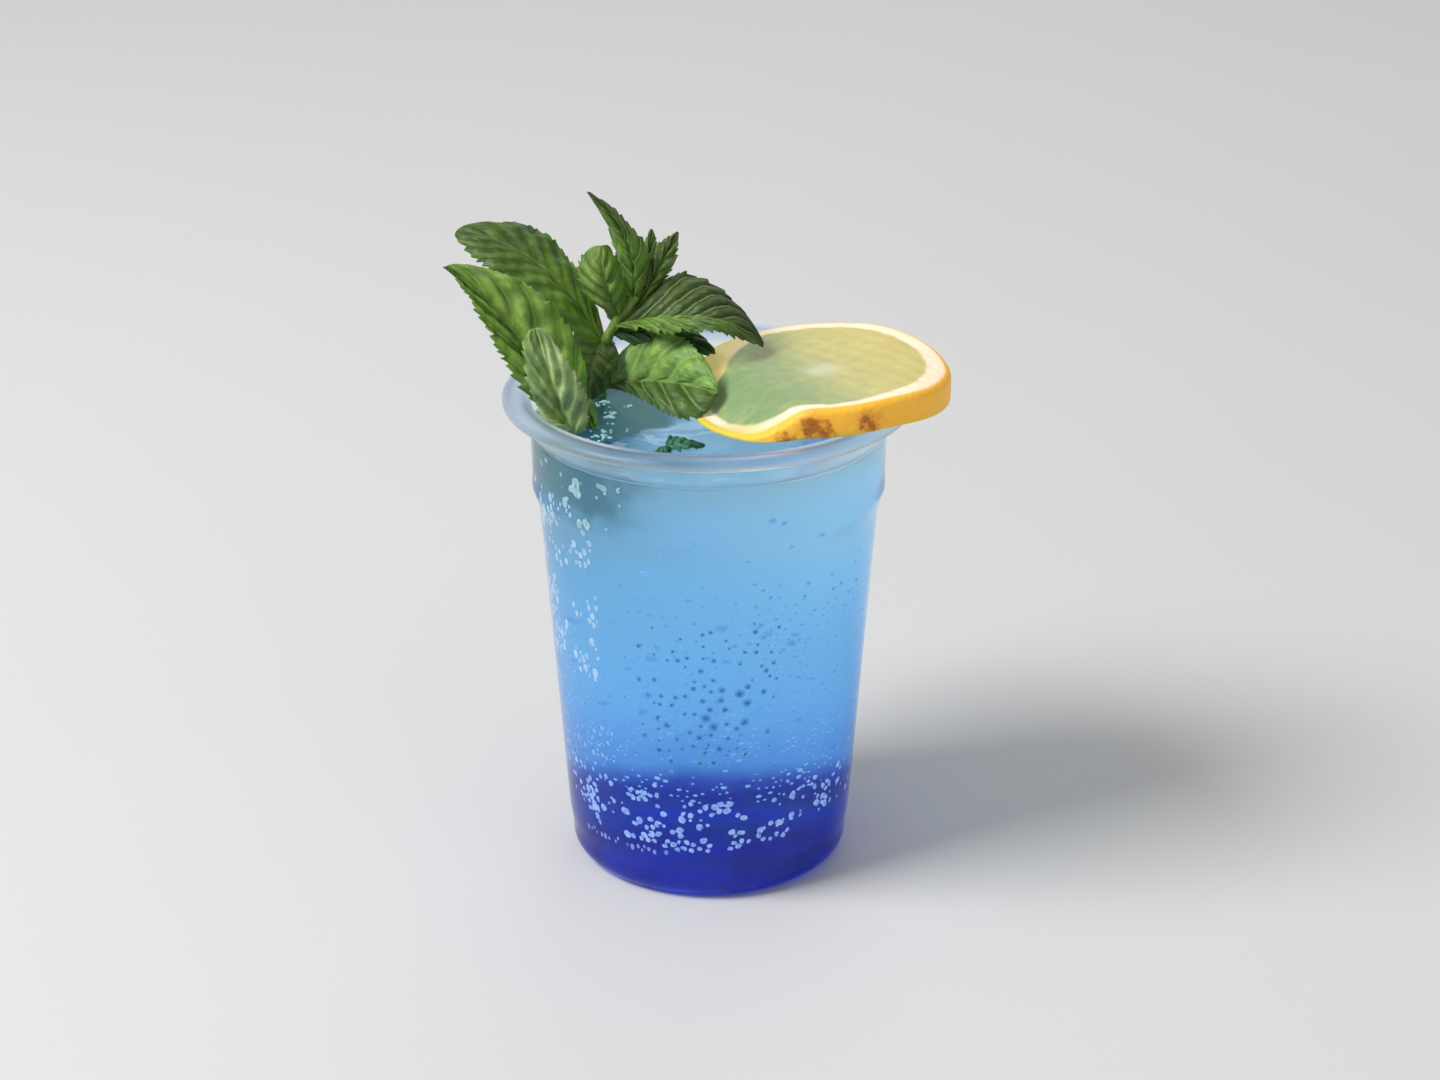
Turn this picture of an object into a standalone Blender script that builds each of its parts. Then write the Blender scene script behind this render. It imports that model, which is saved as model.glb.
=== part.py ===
"""A clear plastic cup of blue orange mojito, with a citrus slice on its rim and sprigs of mint.

Lengths are in metres and +Z is up. The origin is the middle of the flat base that the cup
stands on. Every piece is a closed solid, and touching pieces keep a small gap.
"""

import math
from dataclasses import dataclass

import bmesh
import bpy
from mathutils import Vector

# Turned pieces, and the gap between pieces that touch
SEGMENTS = 48
FILLET_STEPS = 4
WELD = 1e-7
SHARP_ANGLE = math.radians(40.0)
GAP = 0.0003

# Cup: outside sizes, from the base up
CUP_HEIGHT = 0.1200
WALL = 0.0006
BASE_THICKNESS = 0.0008
FOOT_RADIUS = 0.0340
FOOT_FILLET = 0.0048
FOOT_TOP = 0.0090
FOOT_STEP = 0.0009
WALL_BOTTOM_RADIUS = 0.0346
WALL_TOP_RADIUS = 0.0407
LEDGE_BOTTOM = 0.0926
LEDGE_TOP = 0.0950
LEDGE_RADIUS = 0.0420
BEAD_HEIGHT = 0.0965
BEAD_RADIUS = 0.0427
NECK_BOTTOM = 0.0985
NECK_BOTTOM_RADIUS = 0.0421
NECK_TOP = 0.1160
NECK_TOP_RADIUS = 0.0426

# Rim flange
RIM_RADIUS = 0.0490
FLANGE_THICKNESS = 0.0010
FLANGE_INNER_RADIUS = 0.0438
LIP_DROP = 0.0028
LIP_WIDTH = 0.0009
RIM_CORNER = 0.0004
RIM_CROWN = 0.0028
THROAT_FLARE = 0.0009
THROAT_RISE = 0.0018

# Drink: a dark layer of syrup under the pale one
DRINK_LEVEL = 0.1110
SYRUP_TOP = 0.0200

# Citrus slice: rests on the rim, droops outside it, and sags and thins over the drink
SLICE_RADIUS = 0.0308
SLICE_THICKNESS = 0.0070
SLICE_CENTRE = Vector((0.0262, -0.0039, 0.1271))
SLICE_RISE = 0.065
SLICE_RINGS = (0.30, 0.50, 0.66, 0.80, 0.90)
TOP_ROUNDING = 0.0016
UNDERSIDE_ROUNDING = 0.0008
ROUNDING_SHOULDER = 0.3
SAG_DIRECTION = math.radians(-153.6)
SAG_START = 0.0153
SAG_LENGTH = 0.0121
TOP_SAG = 0.0077
UNDERSIDE_SAG = 0.0036
DROOP_START = 0.0120
DROOP_LENGTH = 0.0170
DROOP_DEPTH = 0.0027

# Mint
LEAF_THICKNESS = 0.0009
LEAF_ROW_LENGTH = 0.0023
LEAST_LEAF_ROWS = 8
LEAF_COLUMNS = 4
TOOTH_DEPTH = 0.07
TOOTH_LEAN = 0.35
EDGE_WAVE = 0.0009
WAVE_ALONG = 9.0
WAVE_ACROSS = 2.0
BLADE_CROWN = 0.0011
END_WIDTH = 0.08
STEM_SIDES = 8
STEM_POINTS = 9


@dataclass(frozen=True)
class Leaf:
    """A mint leaf: three points of its midrib, and how far each half spreads where it is widest.

    Left and right are as seen on the upper face with the tip up. widest is where along the
    midrib the leaf is broadest, and a smaller point makes its ends rounder.
    """

    base: tuple
    middle: tuple
    tip: tuple
    left: tuple
    right: tuple
    widest: float = 0.42
    point: float = 0.8


@dataclass(frozen=True)
class Stem:
    """A mint stem: its radius and the points that its middle line passes, from the foot up."""

    radius: float
    points: tuple


TALL_STEM = Stem(
    radius=0.0016,
    points=(
        (-0.0270, 0.0205, 0.0960),
        (-0.0264, 0.0186, 0.1110),
        (-0.0256, 0.0150, 0.1235),
        (-0.0226, 0.0122, 0.1310),
        (-0.0172, 0.0124, 0.1385),
    ),
)
TALL_LEAVES = {
    "top_left": Leaf(
        base=(-0.0184, 0.0120, 0.1365),
        middle=(-0.0194, 0.0090, 0.1527),
        tip=(-0.0281, 0.0060, 0.1661),
        left=(-0.0030, 0.0050, -0.0033),
        right=(0.0046, 0.0040, -0.0018),
        point=1.0,
    ),
    "top_bud": Leaf(
        base=(-0.0168, 0.0130, 0.1370),
        middle=(-0.0145, 0.0160, 0.1462),
        tip=(-0.0137, 0.0180, 0.1533),
        left=(-0.0022, 0.0020, -0.0001),
        right=(0.0023, 0.0020, -0.0001),
    ),
    "top_right": Leaf(
        base=(-0.0163, 0.0120, 0.1366),
        middle=(-0.0111, 0.0140, 0.1464),
        tip=(-0.0073, 0.0160, 0.1532),
        left=(-0.0023, 0.0030, 0.0017),
        right=(0.0027, 0.0020, -0.0018),
        widest=0.5,
        point=0.7,
    ),
    "arching": Leaf(
        base=(-0.0231, 0.0120, 0.1310),
        middle=(-0.0039, 0.0040, 0.1353),
        tip=(0.0130, 0.0040, 0.1289),
        left=(0.0004, 0.0115, 0.0064),
        right=(-0.0009, -0.0070, -0.0015),
        widest=0.52,
    ),
    "short": Leaf(
        base=(-0.0212, 0.0115, 0.1335),
        middle=(-0.0242, 0.0070, 0.1430),
        tip=(-0.0252, 0.0090, 0.1520),
        left=(-0.0052, 0.0040, -0.0022),
        right=(0.0042, 0.0040, -0.0004),
        widest=0.5,
        point=0.55,
    ),
    "back_left": Leaf(
        base=(-0.0256, 0.0135, 0.1264),
        middle=(-0.0402, 0.0160, 0.1450),
        tip=(-0.0602, 0.0220, 0.1518),
        left=(-0.0048, -0.0065, -0.0042),
        right=(0.0047, 0.0085, 0.0029),
        widest=0.5,
        point=0.6,
    ),
    "front_right": Leaf(
        base=(-0.0252, 0.0180, 0.1135),
        middle=(-0.0116, 0.0010, 0.1212),
        tip=(0.0022, -0.0112, 0.1226),
        left=(0.0000, 0.0080, 0.0098),
        right=(-0.0060, 0.0050, -0.0072),
        widest=0.5,
        point=0.6,
    ),
    "under_arch": Leaf(
        base=(-0.0235, 0.0128, 0.1295),
        middle=(-0.0095, 0.0100, 0.1285),
        tip=(0.0010, 0.0060, 0.1261),
        left=(0.0004, 0.0040, 0.0021),
        right=(0.0017, -0.0020, -0.0043),
    ),
    "hanging": Leaf(
        base=(-0.0252, 0.0143, 0.1259),
        middle=(-0.0274, 0.0070, 0.1212),
        tip=(-0.0284, 0.0060, 0.1144),
        left=(0.0058, 0.0020, -0.0007),
        right=(-0.0058, 0.0020, -0.0007),
        point=0.6,
    ),
}
LOW_STEM = Stem(
    radius=0.0015,
    points=(
        (-0.0300, -0.0070, 0.0980),
        (-0.0318, -0.0072, 0.1060),
        (-0.0330, -0.0070, 0.1120),
        (-0.0336, -0.0056, 0.1165),
    ),
)
LOW_LEAVES = {
    "front_left": Leaf(
        base=(-0.0336, -0.0055, 0.1135),
        middle=(-0.0478, -0.0035, 0.1350),
        tip=(-0.0619, 0.0000, 0.1497),
        left=(-0.0046, 0.0050, -0.0028),
        right=(0.0114, 0.0085, 0.0032),
        widest=0.44,
        point=0.75,
    ),
    "pale_front": Leaf(
        base=(-0.0322, -0.0085, 0.1120),
        middle=(-0.0365, -0.0105, 0.1266),
        tip=(-0.0390, -0.0085, 0.1414),
        left=(-0.0060, 0.0020, -0.0015),
        right=(0.0068, 0.0020, 0.0005),
        widest=0.48,
        point=0.7,
    ),
    "rim_leaf": Leaf(
        base=(-0.0315, -0.0090, 0.1122),
        middle=(-0.0362, -0.0088, 0.1152),
        tip=(-0.0400, -0.0030, 0.1192),
        left=(-0.0022, -0.0030, 0.0000),
        right=(0.0026, 0.0026, 0.0008),
        widest=0.5,
        point=0.6,
    ),
    "waterline": Leaf(
        base=(-0.0335, -0.0050, 0.1135),
        middle=(-0.0298, -0.0045, 0.1150),
        tip=(-0.0262, -0.0078, 0.1125),
        left=(0.0010, 0.0010, 0.0034),
        right=(-0.0008, 0.0010, -0.0030),
        widest=0.5,
        point=0.6,
    ),
}


def side_stations():
    """(height, outside radius) of the cup's side, wherever its slope changes."""
    return (
        (FOOT_FILLET, FOOT_RADIUS),
        (FOOT_TOP - FOOT_STEP, FOOT_RADIUS),
        (FOOT_TOP, WALL_BOTTOM_RADIUS),
        (LEDGE_BOTTOM, WALL_TOP_RADIUS),
        (LEDGE_TOP, LEDGE_RADIUS),
        (BEAD_HEIGHT, BEAD_RADIUS),
        (NECK_BOTTOM, NECK_BOTTOM_RADIUS),
        (NECK_TOP, NECK_TOP_RADIUS),
    )


def side_radius(height):
    """Outside radius of the cup's side at a height above the foot's rounding."""
    stations = side_stations()
    for (low, low_radius), (high, high_radius) in zip(stations, stations[1:]):
        if height <= high:
            share = (height - low) / (high - low)
            return low_radius + share * (high_radius - low_radius)
    return NECK_TOP_RADIUS


def foot_arc(inset):
    """(radius, height) points of the foot's rounding, that far inside the cup's outside."""
    centre_radius = FOOT_RADIUS - FOOT_FILLET
    reach = FOOT_FILLET - inset
    points = []
    for step in range(FILLET_STEPS + 1):
        angle = -math.pi / 2 + step / FILLET_STEPS * math.pi / 2
        points.append(
            (centre_radius + reach * math.cos(angle), FOOT_FILLET + reach * math.sin(angle))
        )
    return points


def side_run(inset, low, high):
    """(radius, height) points up the cup's side between two heights, that far inside it."""
    heights = [low]
    heights += [height for height, _ in side_stations() if low < height < high]
    heights.append(high)
    return [(side_radius(height) - inset, height) for height in heights]


def cup_outline():
    """The cup's section: out along the base, up the side, round the rim and down the inside."""
    lip_bottom = CUP_HEIGHT - LIP_DROP
    underside = CUP_HEIGHT - FLANGE_THICKNESS
    crown_edge = RIM_RADIUS - RIM_CROWN
    rim = [
        (NECK_TOP_RADIUS + THROAT_FLARE, underside - THROAT_FLARE),
        (FLANGE_INNER_RADIUS + THROAT_FLARE, underside - RIM_CORNER / 2),
        (crown_edge, underside - RIM_CORNER / 2),
        (RIM_RADIUS - LIP_WIDTH, lip_bottom),
        (RIM_RADIUS, lip_bottom + RIM_CORNER),
        (RIM_RADIUS, CUP_HEIGHT - LIP_DROP / 2),
        (RIM_RADIUS - 2 * RIM_CORNER, CUP_HEIGHT - RIM_CORNER),
        (crown_edge, CUP_HEIGHT),
        (FLANGE_INNER_RADIUS, CUP_HEIGHT),
        (FLANGE_INNER_RADIUS - THROAT_FLARE, CUP_HEIGHT - FLANGE_THICKNESS / 2),
        (NECK_TOP_RADIUS - WALL, NECK_TOP + THROAT_RISE),
    ]
    outside = foot_arc(0.0)[:-1] + side_run(0.0, FOOT_FILLET, NECK_TOP)
    inside = foot_arc(WALL)[:-1] + side_run(WALL, FOOT_FILLET, NECK_TOP)
    floor = [(0.0, BASE_THICKNESS), (FOOT_RADIUS - FOOT_FILLET, BASE_THICKNESS)]
    inside = floor + inside[1:]
    return [(0.0, 0.0)] + outside + rim + inside[::-1]


def turned_mesh(name, outline):
    """Closed mesh of a (radius, height) outline turned about Z."""
    shape = bmesh.new()
    verts = [shape.verts.new((radius, 0.0, height)) for radius, height in outline]
    edges = [shape.edges.new(pair) for pair in zip(verts, verts[1:])]
    bmesh.ops.spin(
        shape,
        geom=verts + edges,
        cent=(0.0, 0.0, 0.0),
        axis=(0.0, 0.0, 1.0),
        angle=2 * math.pi,
        steps=SEGMENTS,
        use_merge=True,
    )
    bmesh.ops.remove_doubles(shape, verts=shape.verts, dist=WELD)
    bmesh.ops.recalc_face_normals(shape, faces=shape.faces)
    mesh = bpy.data.meshes.new(name)
    shape.to_mesh(mesh)
    shape.free()
    return mesh


def material(name, colour, roughness, transmission=0.0):
    """Principled material of one plain colour."""
    made = bpy.data.materials.new(name)
    made.use_nodes = True
    made.diffuse_color = (*colour, 1.0)
    shader = made.node_tree.nodes["Principled BSDF"]
    shader.inputs["Base Color"].default_value = (*colour, 1.0)
    shader.inputs["Roughness"].default_value = roughness
    shader.inputs["Metallic"].default_value = 0.0
    shader.inputs["Transmission Weight"].default_value = transmission
    return made


def add_object(name, mesh, finish):
    """Link a mesh as a named object with its material, shaded smooth but for sharp edges."""
    mesh.shade_smooth()
    mesh.set_sharp_from_angle(angle=SHARP_ANGLE)
    mesh.materials.clear()
    mesh.materials.append(finish)
    made = bpy.data.objects.new(name, mesh)
    bpy.context.scene.collection.objects.link(made)
    return made


def leaf_point(leaf, along, across):
    """Point of a leaf's middle surface: along from base 0 to tip 1, across from -1 to 1."""
    base, middle, tip = Vector(leaf.base), Vector(leaf.middle), Vector(leaf.tip)
    control = 2 * middle - (base + tip) / 2
    back = 1.0 - along
    rib = back * back * base + 2 * along * back * control + along * along * tip
    swell = math.sin(math.pi * along ** (math.log(0.5) / math.log(leaf.widest)))
    width = END_WIDTH + (1 - END_WIDTH) * max(swell, 0.0) ** leaf.point
    wing = Vector(leaf.left if across < 0 else leaf.right)
    ripple = math.sin(WAVE_ALONG * along + WAVE_ACROSS * across) * across * across
    crown = 4.0 * abs(across) * (1.0 - abs(across))
    lift = (EDGE_WAVE * ripple + BLADE_CROWN * crown) * width
    return rib + wing * abs(across) * width + leaf_face(leaf) * lift


def leaf_face(leaf):
    """Direction that a leaf's upper face looks in."""
    chord = Vector(leaf.right) - Vector(leaf.left)
    return chord.cross(Vector(leaf.tip) - Vector(leaf.base)).normalized()


def leaf_grid(leaf):
    """Rows of points over a leaf, base to tip, with a toothed edge."""
    base, middle, tip = Vector(leaf.base), Vector(leaf.middle), Vector(leaf.tip)
    length = (middle - base).length + (tip - middle).length
    last = max(LEAST_LEAF_ROWS, 2 * round(length / LEAF_ROW_LENGTH / 2))
    rows = []
    for row in range(last + 1):
        tooth = 1 if row % 2 else -1
        points = []
        for column in range(LEAF_COLUMNS + 1):
            across = 2.0 * column / LEAF_COLUMNS - 1.0
            along = row / last
            if column in (0, LEAF_COLUMNS) and 0 < row < last:
                across *= 1.0 + TOOTH_DEPTH * tooth
                along += TOOTH_LEAN * (1 + tooth) / 2 / last
            points.append(leaf_point(leaf, along, across))
        rows.append(points)
    return rows


def leaf_mesh(name, leaf):
    """Thin closed leaf whose two faces are split into triangles alike."""
    rows = leaf_grid(leaf)
    shape = bmesh.new()
    layers = []
    for side in (0.5, -0.5):
        lift = leaf_face(leaf) * LEAF_THICKNESS * side
        layers.append([[shape.verts.new(point + lift) for point in row] for row in rows])
    for row in range(len(rows) - 1):
        for column in range(LEAF_COLUMNS):
            for layer in layers:
                a, b = layer[row][column], layer[row][column + 1]
                c, d = layer[row + 1][column + 1], layer[row + 1][column]
                shape.faces.new((a, b, c))
                shape.faces.new((a, c, d))
    for layer_top, layer_bottom in zip(leaf_border(layers[0]), leaf_border(layers[1])):
        (top_a, top_b), (bottom_a, bottom_b) = layer_top, layer_bottom
        shape.faces.new((top_a, top_b, bottom_b))
        shape.faces.new((top_a, bottom_b, bottom_a))
    cut_at_drink(shape)
    bmesh.ops.recalc_face_normals(shape, faces=shape.faces)
    mesh = bpy.data.meshes.new(name)
    shape.to_mesh(mesh)
    shape.free()
    return mesh


def leaf_border(layer):
    """Pairs of neighbouring verts all the way round one face of a leaf."""
    ring = list(layer[0])
    ring += [row[-1] for row in layer[1:]]
    ring += layer[-1][-2::-1]
    ring += [row[0] for row in layer[-2:0:-1]]
    return list(zip(ring, ring[1:] + ring[:1]))


def cut_at_drink(shape):
    """Take off what would dip in the drink, and close the cut."""
    level = DRINK_LEVEL + GAP
    if min(vert.co.z for vert in shape.verts) > level:
        return
    everything = shape.verts[:] + shape.edges[:] + shape.faces[:]
    cut = bmesh.ops.bisect_plane(
        shape, geom=everything, plane_co=(0, 0, level), plane_no=(0, 0, 1), clear_inner=True
    )
    edges = [item for item in cut["geom_cut"] if isinstance(item, bmesh.types.BMEdge)]
    filled = bmesh.ops.holes_fill(shape, edges=edges)
    bmesh.ops.triangulate(shape, faces=filled["faces"])


def stem_curve(stem):
    """Points of a stem's middle line, read from a smooth curve through the stem's own points."""
    marks = [Vector(point) for point in stem.points]
    first = 2 * marks[0] - marks[1]
    last = 2 * marks[-1] - marks[-2]
    marks = [first, *marks, last]
    line = []
    for index in range(STEM_POINTS):
        place = index / (STEM_POINTS - 1) * (len(marks) - 3)
        start = min(int(place), len(marks) - 4)
        line.append(smooth_between(marks[start : start + 4], place - start))
    return line


def smooth_between(marks, share):
    """Catmull-Rom point between the two middle marks of four."""
    before, start, end, after = marks
    square, cube = share * share, share**3
    return 0.5 * (
        2 * start
        + (end - before) * share
        + (2 * before - 5 * start + 4 * end - after) * square
        + (3 * start - before - 3 * end + after) * cube
    )


def stem_mesh(name, stem, extra=0.0, head=0.0):
    """Round closed tube along a stem, made thicker by extra and longer downwards by head."""
    line = stem_curve(stem)
    line[0] = line[0] + (line[0] - line[1]).normalized() * head
    shape = bmesh.new()
    rings = []
    for index, point in enumerate(line):
        ahead = line[min(index + 1, len(line) - 1)]
        behind = line[max(index - 1, 0)]
        way = (ahead - behind).normalized()
        side = way.cross(Vector((0, 1, 0))).normalized()
        across = way.cross(side)
        ring = []
        for corner in range(STEM_SIDES):
            angle = 2 * math.pi * corner / STEM_SIDES
            spoke = side * math.cos(angle) + across * math.sin(angle)
            ring.append(shape.verts.new(point + spoke * (stem.radius + extra)))
        rings.append(ring)
    for low, high in zip(rings, rings[1:]):
        for corner in range(STEM_SIDES):
            following = (corner + 1) % STEM_SIDES
            shape.faces.new((low[corner], low[following], high[following], high[corner]))
    shape.faces.new(rings[0])
    shape.faces.new(rings[-1])
    bmesh.ops.recalc_face_normals(shape, faces=shape.faces)
    mesh = bpy.data.meshes.new(name)
    shape.to_mesh(mesh)
    shape.free()
    return mesh


def applied_boolean(target, operation, helpers):
    """Join or cut the target with helper objects, apply the result and remove the helpers."""
    group = bpy.data.collections.new(target.name + "_helpers")
    bpy.context.scene.collection.children.link(group)
    for helper in helpers:
        bpy.context.scene.collection.objects.unlink(helper)
        group.objects.link(helper)
    modifier = target.modifiers.new(operation.title(), "BOOLEAN")
    modifier.operation = operation
    modifier.operand_type = "COLLECTION"
    modifier.collection = group
    modifier.solver = "EXACT"
    bpy.context.view_layer.update()
    evaluated = target.evaluated_get(bpy.context.evaluated_depsgraph_get())
    mesh = bpy.data.meshes.new_from_object(evaluated)
    target.modifiers.remove(modifier)
    target.data = mesh
    for helper in helpers:
        bpy.data.objects.remove(helper, do_unlink=True)
    bpy.data.collections.remove(group)


def drop_scraps(mesh):
    """Keep only the largest connected piece of a mesh."""
    shape = bmesh.new()
    shape.from_mesh(mesh)
    unseen = set(shape.verts)
    pieces = []
    while unseen:
        piece = {unseen.pop()}
        edge_of_piece = set(piece)
        while edge_of_piece:
            edge_of_piece = {
                edge.other_vert(vert) for vert in edge_of_piece for edge in vert.link_edges
            } & unseen
            unseen -= edge_of_piece
            piece |= edge_of_piece
        pieces.append(piece)
    pieces.sort(key=len)
    for piece in pieces[:-1]:
        bmesh.ops.delete(shape, geom=list(piece), context="VERTS")
    shape.to_mesh(mesh)
    shape.free()


def slice_face(rounding):
    """(radius, height) points of a slice's upper face, out to its rounded edge."""
    face = [(0.0, 0.0)]
    face += [(ring * SLICE_RADIUS, 0.0) for ring in SLICE_RINGS]
    face.append((SLICE_RADIUS - rounding, 0.0))
    shoulder = ROUNDING_SHOULDER * rounding
    face.append((SLICE_RADIUS - shoulder, -shoulder))
    face.append((SLICE_RADIUS, -rounding))
    return face


def bend_slice(mesh):
    """Put the flat disk in its place on the rim, with its sag and its droop."""
    sag_way = Vector((math.cos(SAG_DIRECTION), math.sin(SAG_DIRECTION)))
    for vert in mesh.vertices:
        flat = Vector((vert.co.x, vert.co.y))
        share = (flat.dot(sag_way) - SAG_START) / SAG_LENGTH
        share = min(max(share, 0.0), 1.0)
        depth = TOP_SAG + (UNDERSIDE_SAG - TOP_SAG) * -vert.co.z / SLICE_THICKNESS
        sag = depth * share * share * (3.0 - 2.0 * share)
        droop = DROOP_DEPTH * (max(flat.x - DROOP_START, 0.0) / DROOP_LENGTH) ** 2
        vert.co += SLICE_CENTRE
        vert.co.z += SLICE_RISE * flat.x - sag - droop


def make_cup():
    """The one-piece cup: foot, tapered side, stacking ledge, neck and rim flange."""
    finish = material("clear_plastic", (0.80, 0.86, 0.88), 0.08, transmission=0.9)
    return add_object("cup", turned_mesh("cup", cup_outline()), finish)


def make_syrup():
    """The dark blue layer that fills the foot of the cup."""
    inset = WALL + GAP
    floor = BASE_THICKNESS + GAP
    outline = [(0.0, floor), (FOOT_RADIUS - FOOT_FILLET, floor)]
    outline += foot_arc(inset)[1:-1]
    outline += side_run(inset, FOOT_FILLET, SYRUP_TOP)
    outline.append((0.0, SYRUP_TOP))
    finish = material("dark_blue_syrup", (0.012, 0.026, 0.235), 0.08, transmission=0.5)
    return add_object("syrup", turned_mesh("syrup", outline), finish)


def make_drink():
    """The pale blue layer up to the level shown, with a pocket for each mint stem."""
    inset = WALL + GAP
    outline = [(0.0, SYRUP_TOP + GAP)]
    outline += side_run(inset, SYRUP_TOP + GAP, DRINK_LEVEL)
    outline.append((0.0, DRINK_LEVEL))
    finish = material("pale_blue_drink", (0.13, 0.40, 0.75), 0.08, transmission=0.6)
    drink = add_object("drink", turned_mesh("drink", outline), finish)
    pockets = []
    for name, stem in (("tall_pocket", TALL_STEM), ("low_pocket", LOW_STEM)):
        pockets.append(add_object(name, stem_mesh(name, stem, GAP, GAP), finish))
    applied_boolean(drink, "DIFFERENCE", pockets)
    return drink


def make_slice():
    """The round of citrus that lies over the right of the rim."""
    top = slice_face(TOP_ROUNDING)
    underside = [
        (radius, -SLICE_THICKNESS - height) for radius, height in slice_face(UNDERSIDE_ROUNDING)
    ]
    middle = [(SLICE_RADIUS, -SLICE_THICKNESS / 2)]
    outline = top + middle + underside[::-1]
    mesh = turned_mesh("citrus_slice", outline)
    bend_slice(mesh)
    finish = material("citrus", (0.80, 0.52, 0.09), 0.4)
    return add_object("citrus_slice", mesh, finish)


def make_sprig(name, stem, leaves, finish):
    """One mint sprig: its leaves joined to its stem."""
    sprig = add_object(name, stem_mesh(name, stem), finish)
    blades = []
    for key, leaf in leaves.items():
        blades.append(add_object(f"{name}_{key}", leaf_mesh(key, leaf), finish))
    applied_boolean(sprig, "UNION", blades)
    drop_scraps(sprig.data)
    return sprig


def main():
    """Clear the scene and model every piece."""
    for old in list(bpy.data.objects):
        bpy.data.objects.remove(old, do_unlink=True)
    make_cup()
    make_syrup()
    make_drink()
    make_slice()
    leaf_green = material("mint_leaf", (0.10, 0.24, 0.035), 0.5)
    make_sprig("mint_tall", TALL_STEM, TALL_LEAVES, leaf_green)
    make_sprig("mint_low", LOW_STEM, LOW_LEAVES, leaf_green)


main()
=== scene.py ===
"""Looks of a clear plastic cup of blue orange mojito, with its mint sprigs and citrus slice.

Lengths are in metres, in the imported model's own frame: the middle of the cup's base is at the
origin, +Z is up, and the camera looks along +Y.
"""

import logging
import math
from collections.abc import Iterable
from dataclasses import dataclass
from enum import Enum
from functools import cache

import bpy
import numpy as np
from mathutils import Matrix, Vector


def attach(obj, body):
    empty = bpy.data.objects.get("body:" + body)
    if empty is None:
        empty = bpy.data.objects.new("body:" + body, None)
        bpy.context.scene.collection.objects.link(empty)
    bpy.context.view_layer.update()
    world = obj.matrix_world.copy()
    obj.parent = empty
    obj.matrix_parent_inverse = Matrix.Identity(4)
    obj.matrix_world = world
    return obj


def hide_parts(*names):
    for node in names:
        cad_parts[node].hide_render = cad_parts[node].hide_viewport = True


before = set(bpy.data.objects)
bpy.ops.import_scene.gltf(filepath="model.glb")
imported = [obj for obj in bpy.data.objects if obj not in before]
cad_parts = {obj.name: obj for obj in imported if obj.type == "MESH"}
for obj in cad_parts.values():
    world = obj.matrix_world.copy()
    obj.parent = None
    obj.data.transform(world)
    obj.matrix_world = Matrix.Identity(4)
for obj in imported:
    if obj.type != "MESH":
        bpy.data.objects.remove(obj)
log = logging.getLogger("mojito")

Colour = tuple[float, float, float]
Point = tuple[float, float, float]
Outline = list[tuple[float, float]]
Faces = list[tuple[int, ...]]
ROOT = "root"
GEOMETRY = "NodeSocketGeometry"
MATERIAL = "NodeSocketMaterial"
BLACK = (0.0, 0.0, 0.0)
LEVEL = 0.1110
WALL_SPANS = 6
KINDS = {float: "NodeSocketFloat", int: "NodeSocketInt"}


def from_srgb(red: int, green: int, blue: int) -> Colour:
    """Turn a colour as an eye reads it off a screen into the linear one that shaders take.

    Args:
        red: Red from 0 to 255.
        green: Green from 0 to 255.
        blue: Blue from 0 to 255.

    Returns:
        The linear colour.
    """
    shares = (value / 255 for value in (red, green, blue))
    return tuple(s / 12.92 if s <= 0.04045 else ((s + 0.055) / 1.055) ** 2.4 for s in shares)


def smooth_step(low: float, high: float, value: np.ndarray) -> np.ndarray:
    """Rise smoothly from 0 at low to 1 at high.

    Args:
        low: Value where the rise starts.
        high: Value where it ends.
        value: Values to read.

    Returns:
        The share from 0 to 1 for each value.
    """
    share = np.clip((value - low) / (high - low), 0.0, 1.0)
    return share * share * (3.0 - 2.0 * share)


class Value:
    """One output of a node. Plain arithmetic on it adds Math nodes."""

    def __init__(self, graph: "Graph", socket: bpy.types.NodeSocket) -> None:
        """Keep the socket and its graph."""
        self.graph, self.socket = graph, socket

    def __add__(self, other: object) -> "Value":
        """Sum."""
        return self.graph.math("ADD", self, other)

    def __radd__(self, other: object) -> "Value":
        """Sum with a plain number first."""
        return self.graph.math("ADD", other, self)

    def __sub__(self, other: object) -> "Value":
        """Difference."""
        return self.graph.math("SUBTRACT", self, other)

    def __rsub__(self, other: object) -> "Value":
        """Difference from a plain number."""
        return self.graph.math("SUBTRACT", other, self)

    def __mul__(self, other: object) -> "Value":
        """Product."""
        return self.graph.math("MULTIPLY", self, other)

    def __truediv__(self, other: object) -> "Value":
        """Quotient."""
        return self.graph.math("DIVIDE", self, other)

    def __pow__(self, other: object) -> "Value":
        """Power."""
        return self.graph.math("POWER", self, other)

    def __abs__(self) -> "Value":
        """Size without its sign."""
        return self.graph.math("ABSOLUTE", self)

    def output(self, name: str) -> "Value":
        """Another output of the same node."""
        return Value(self.graph, self.socket.node.outputs[name])


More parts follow.
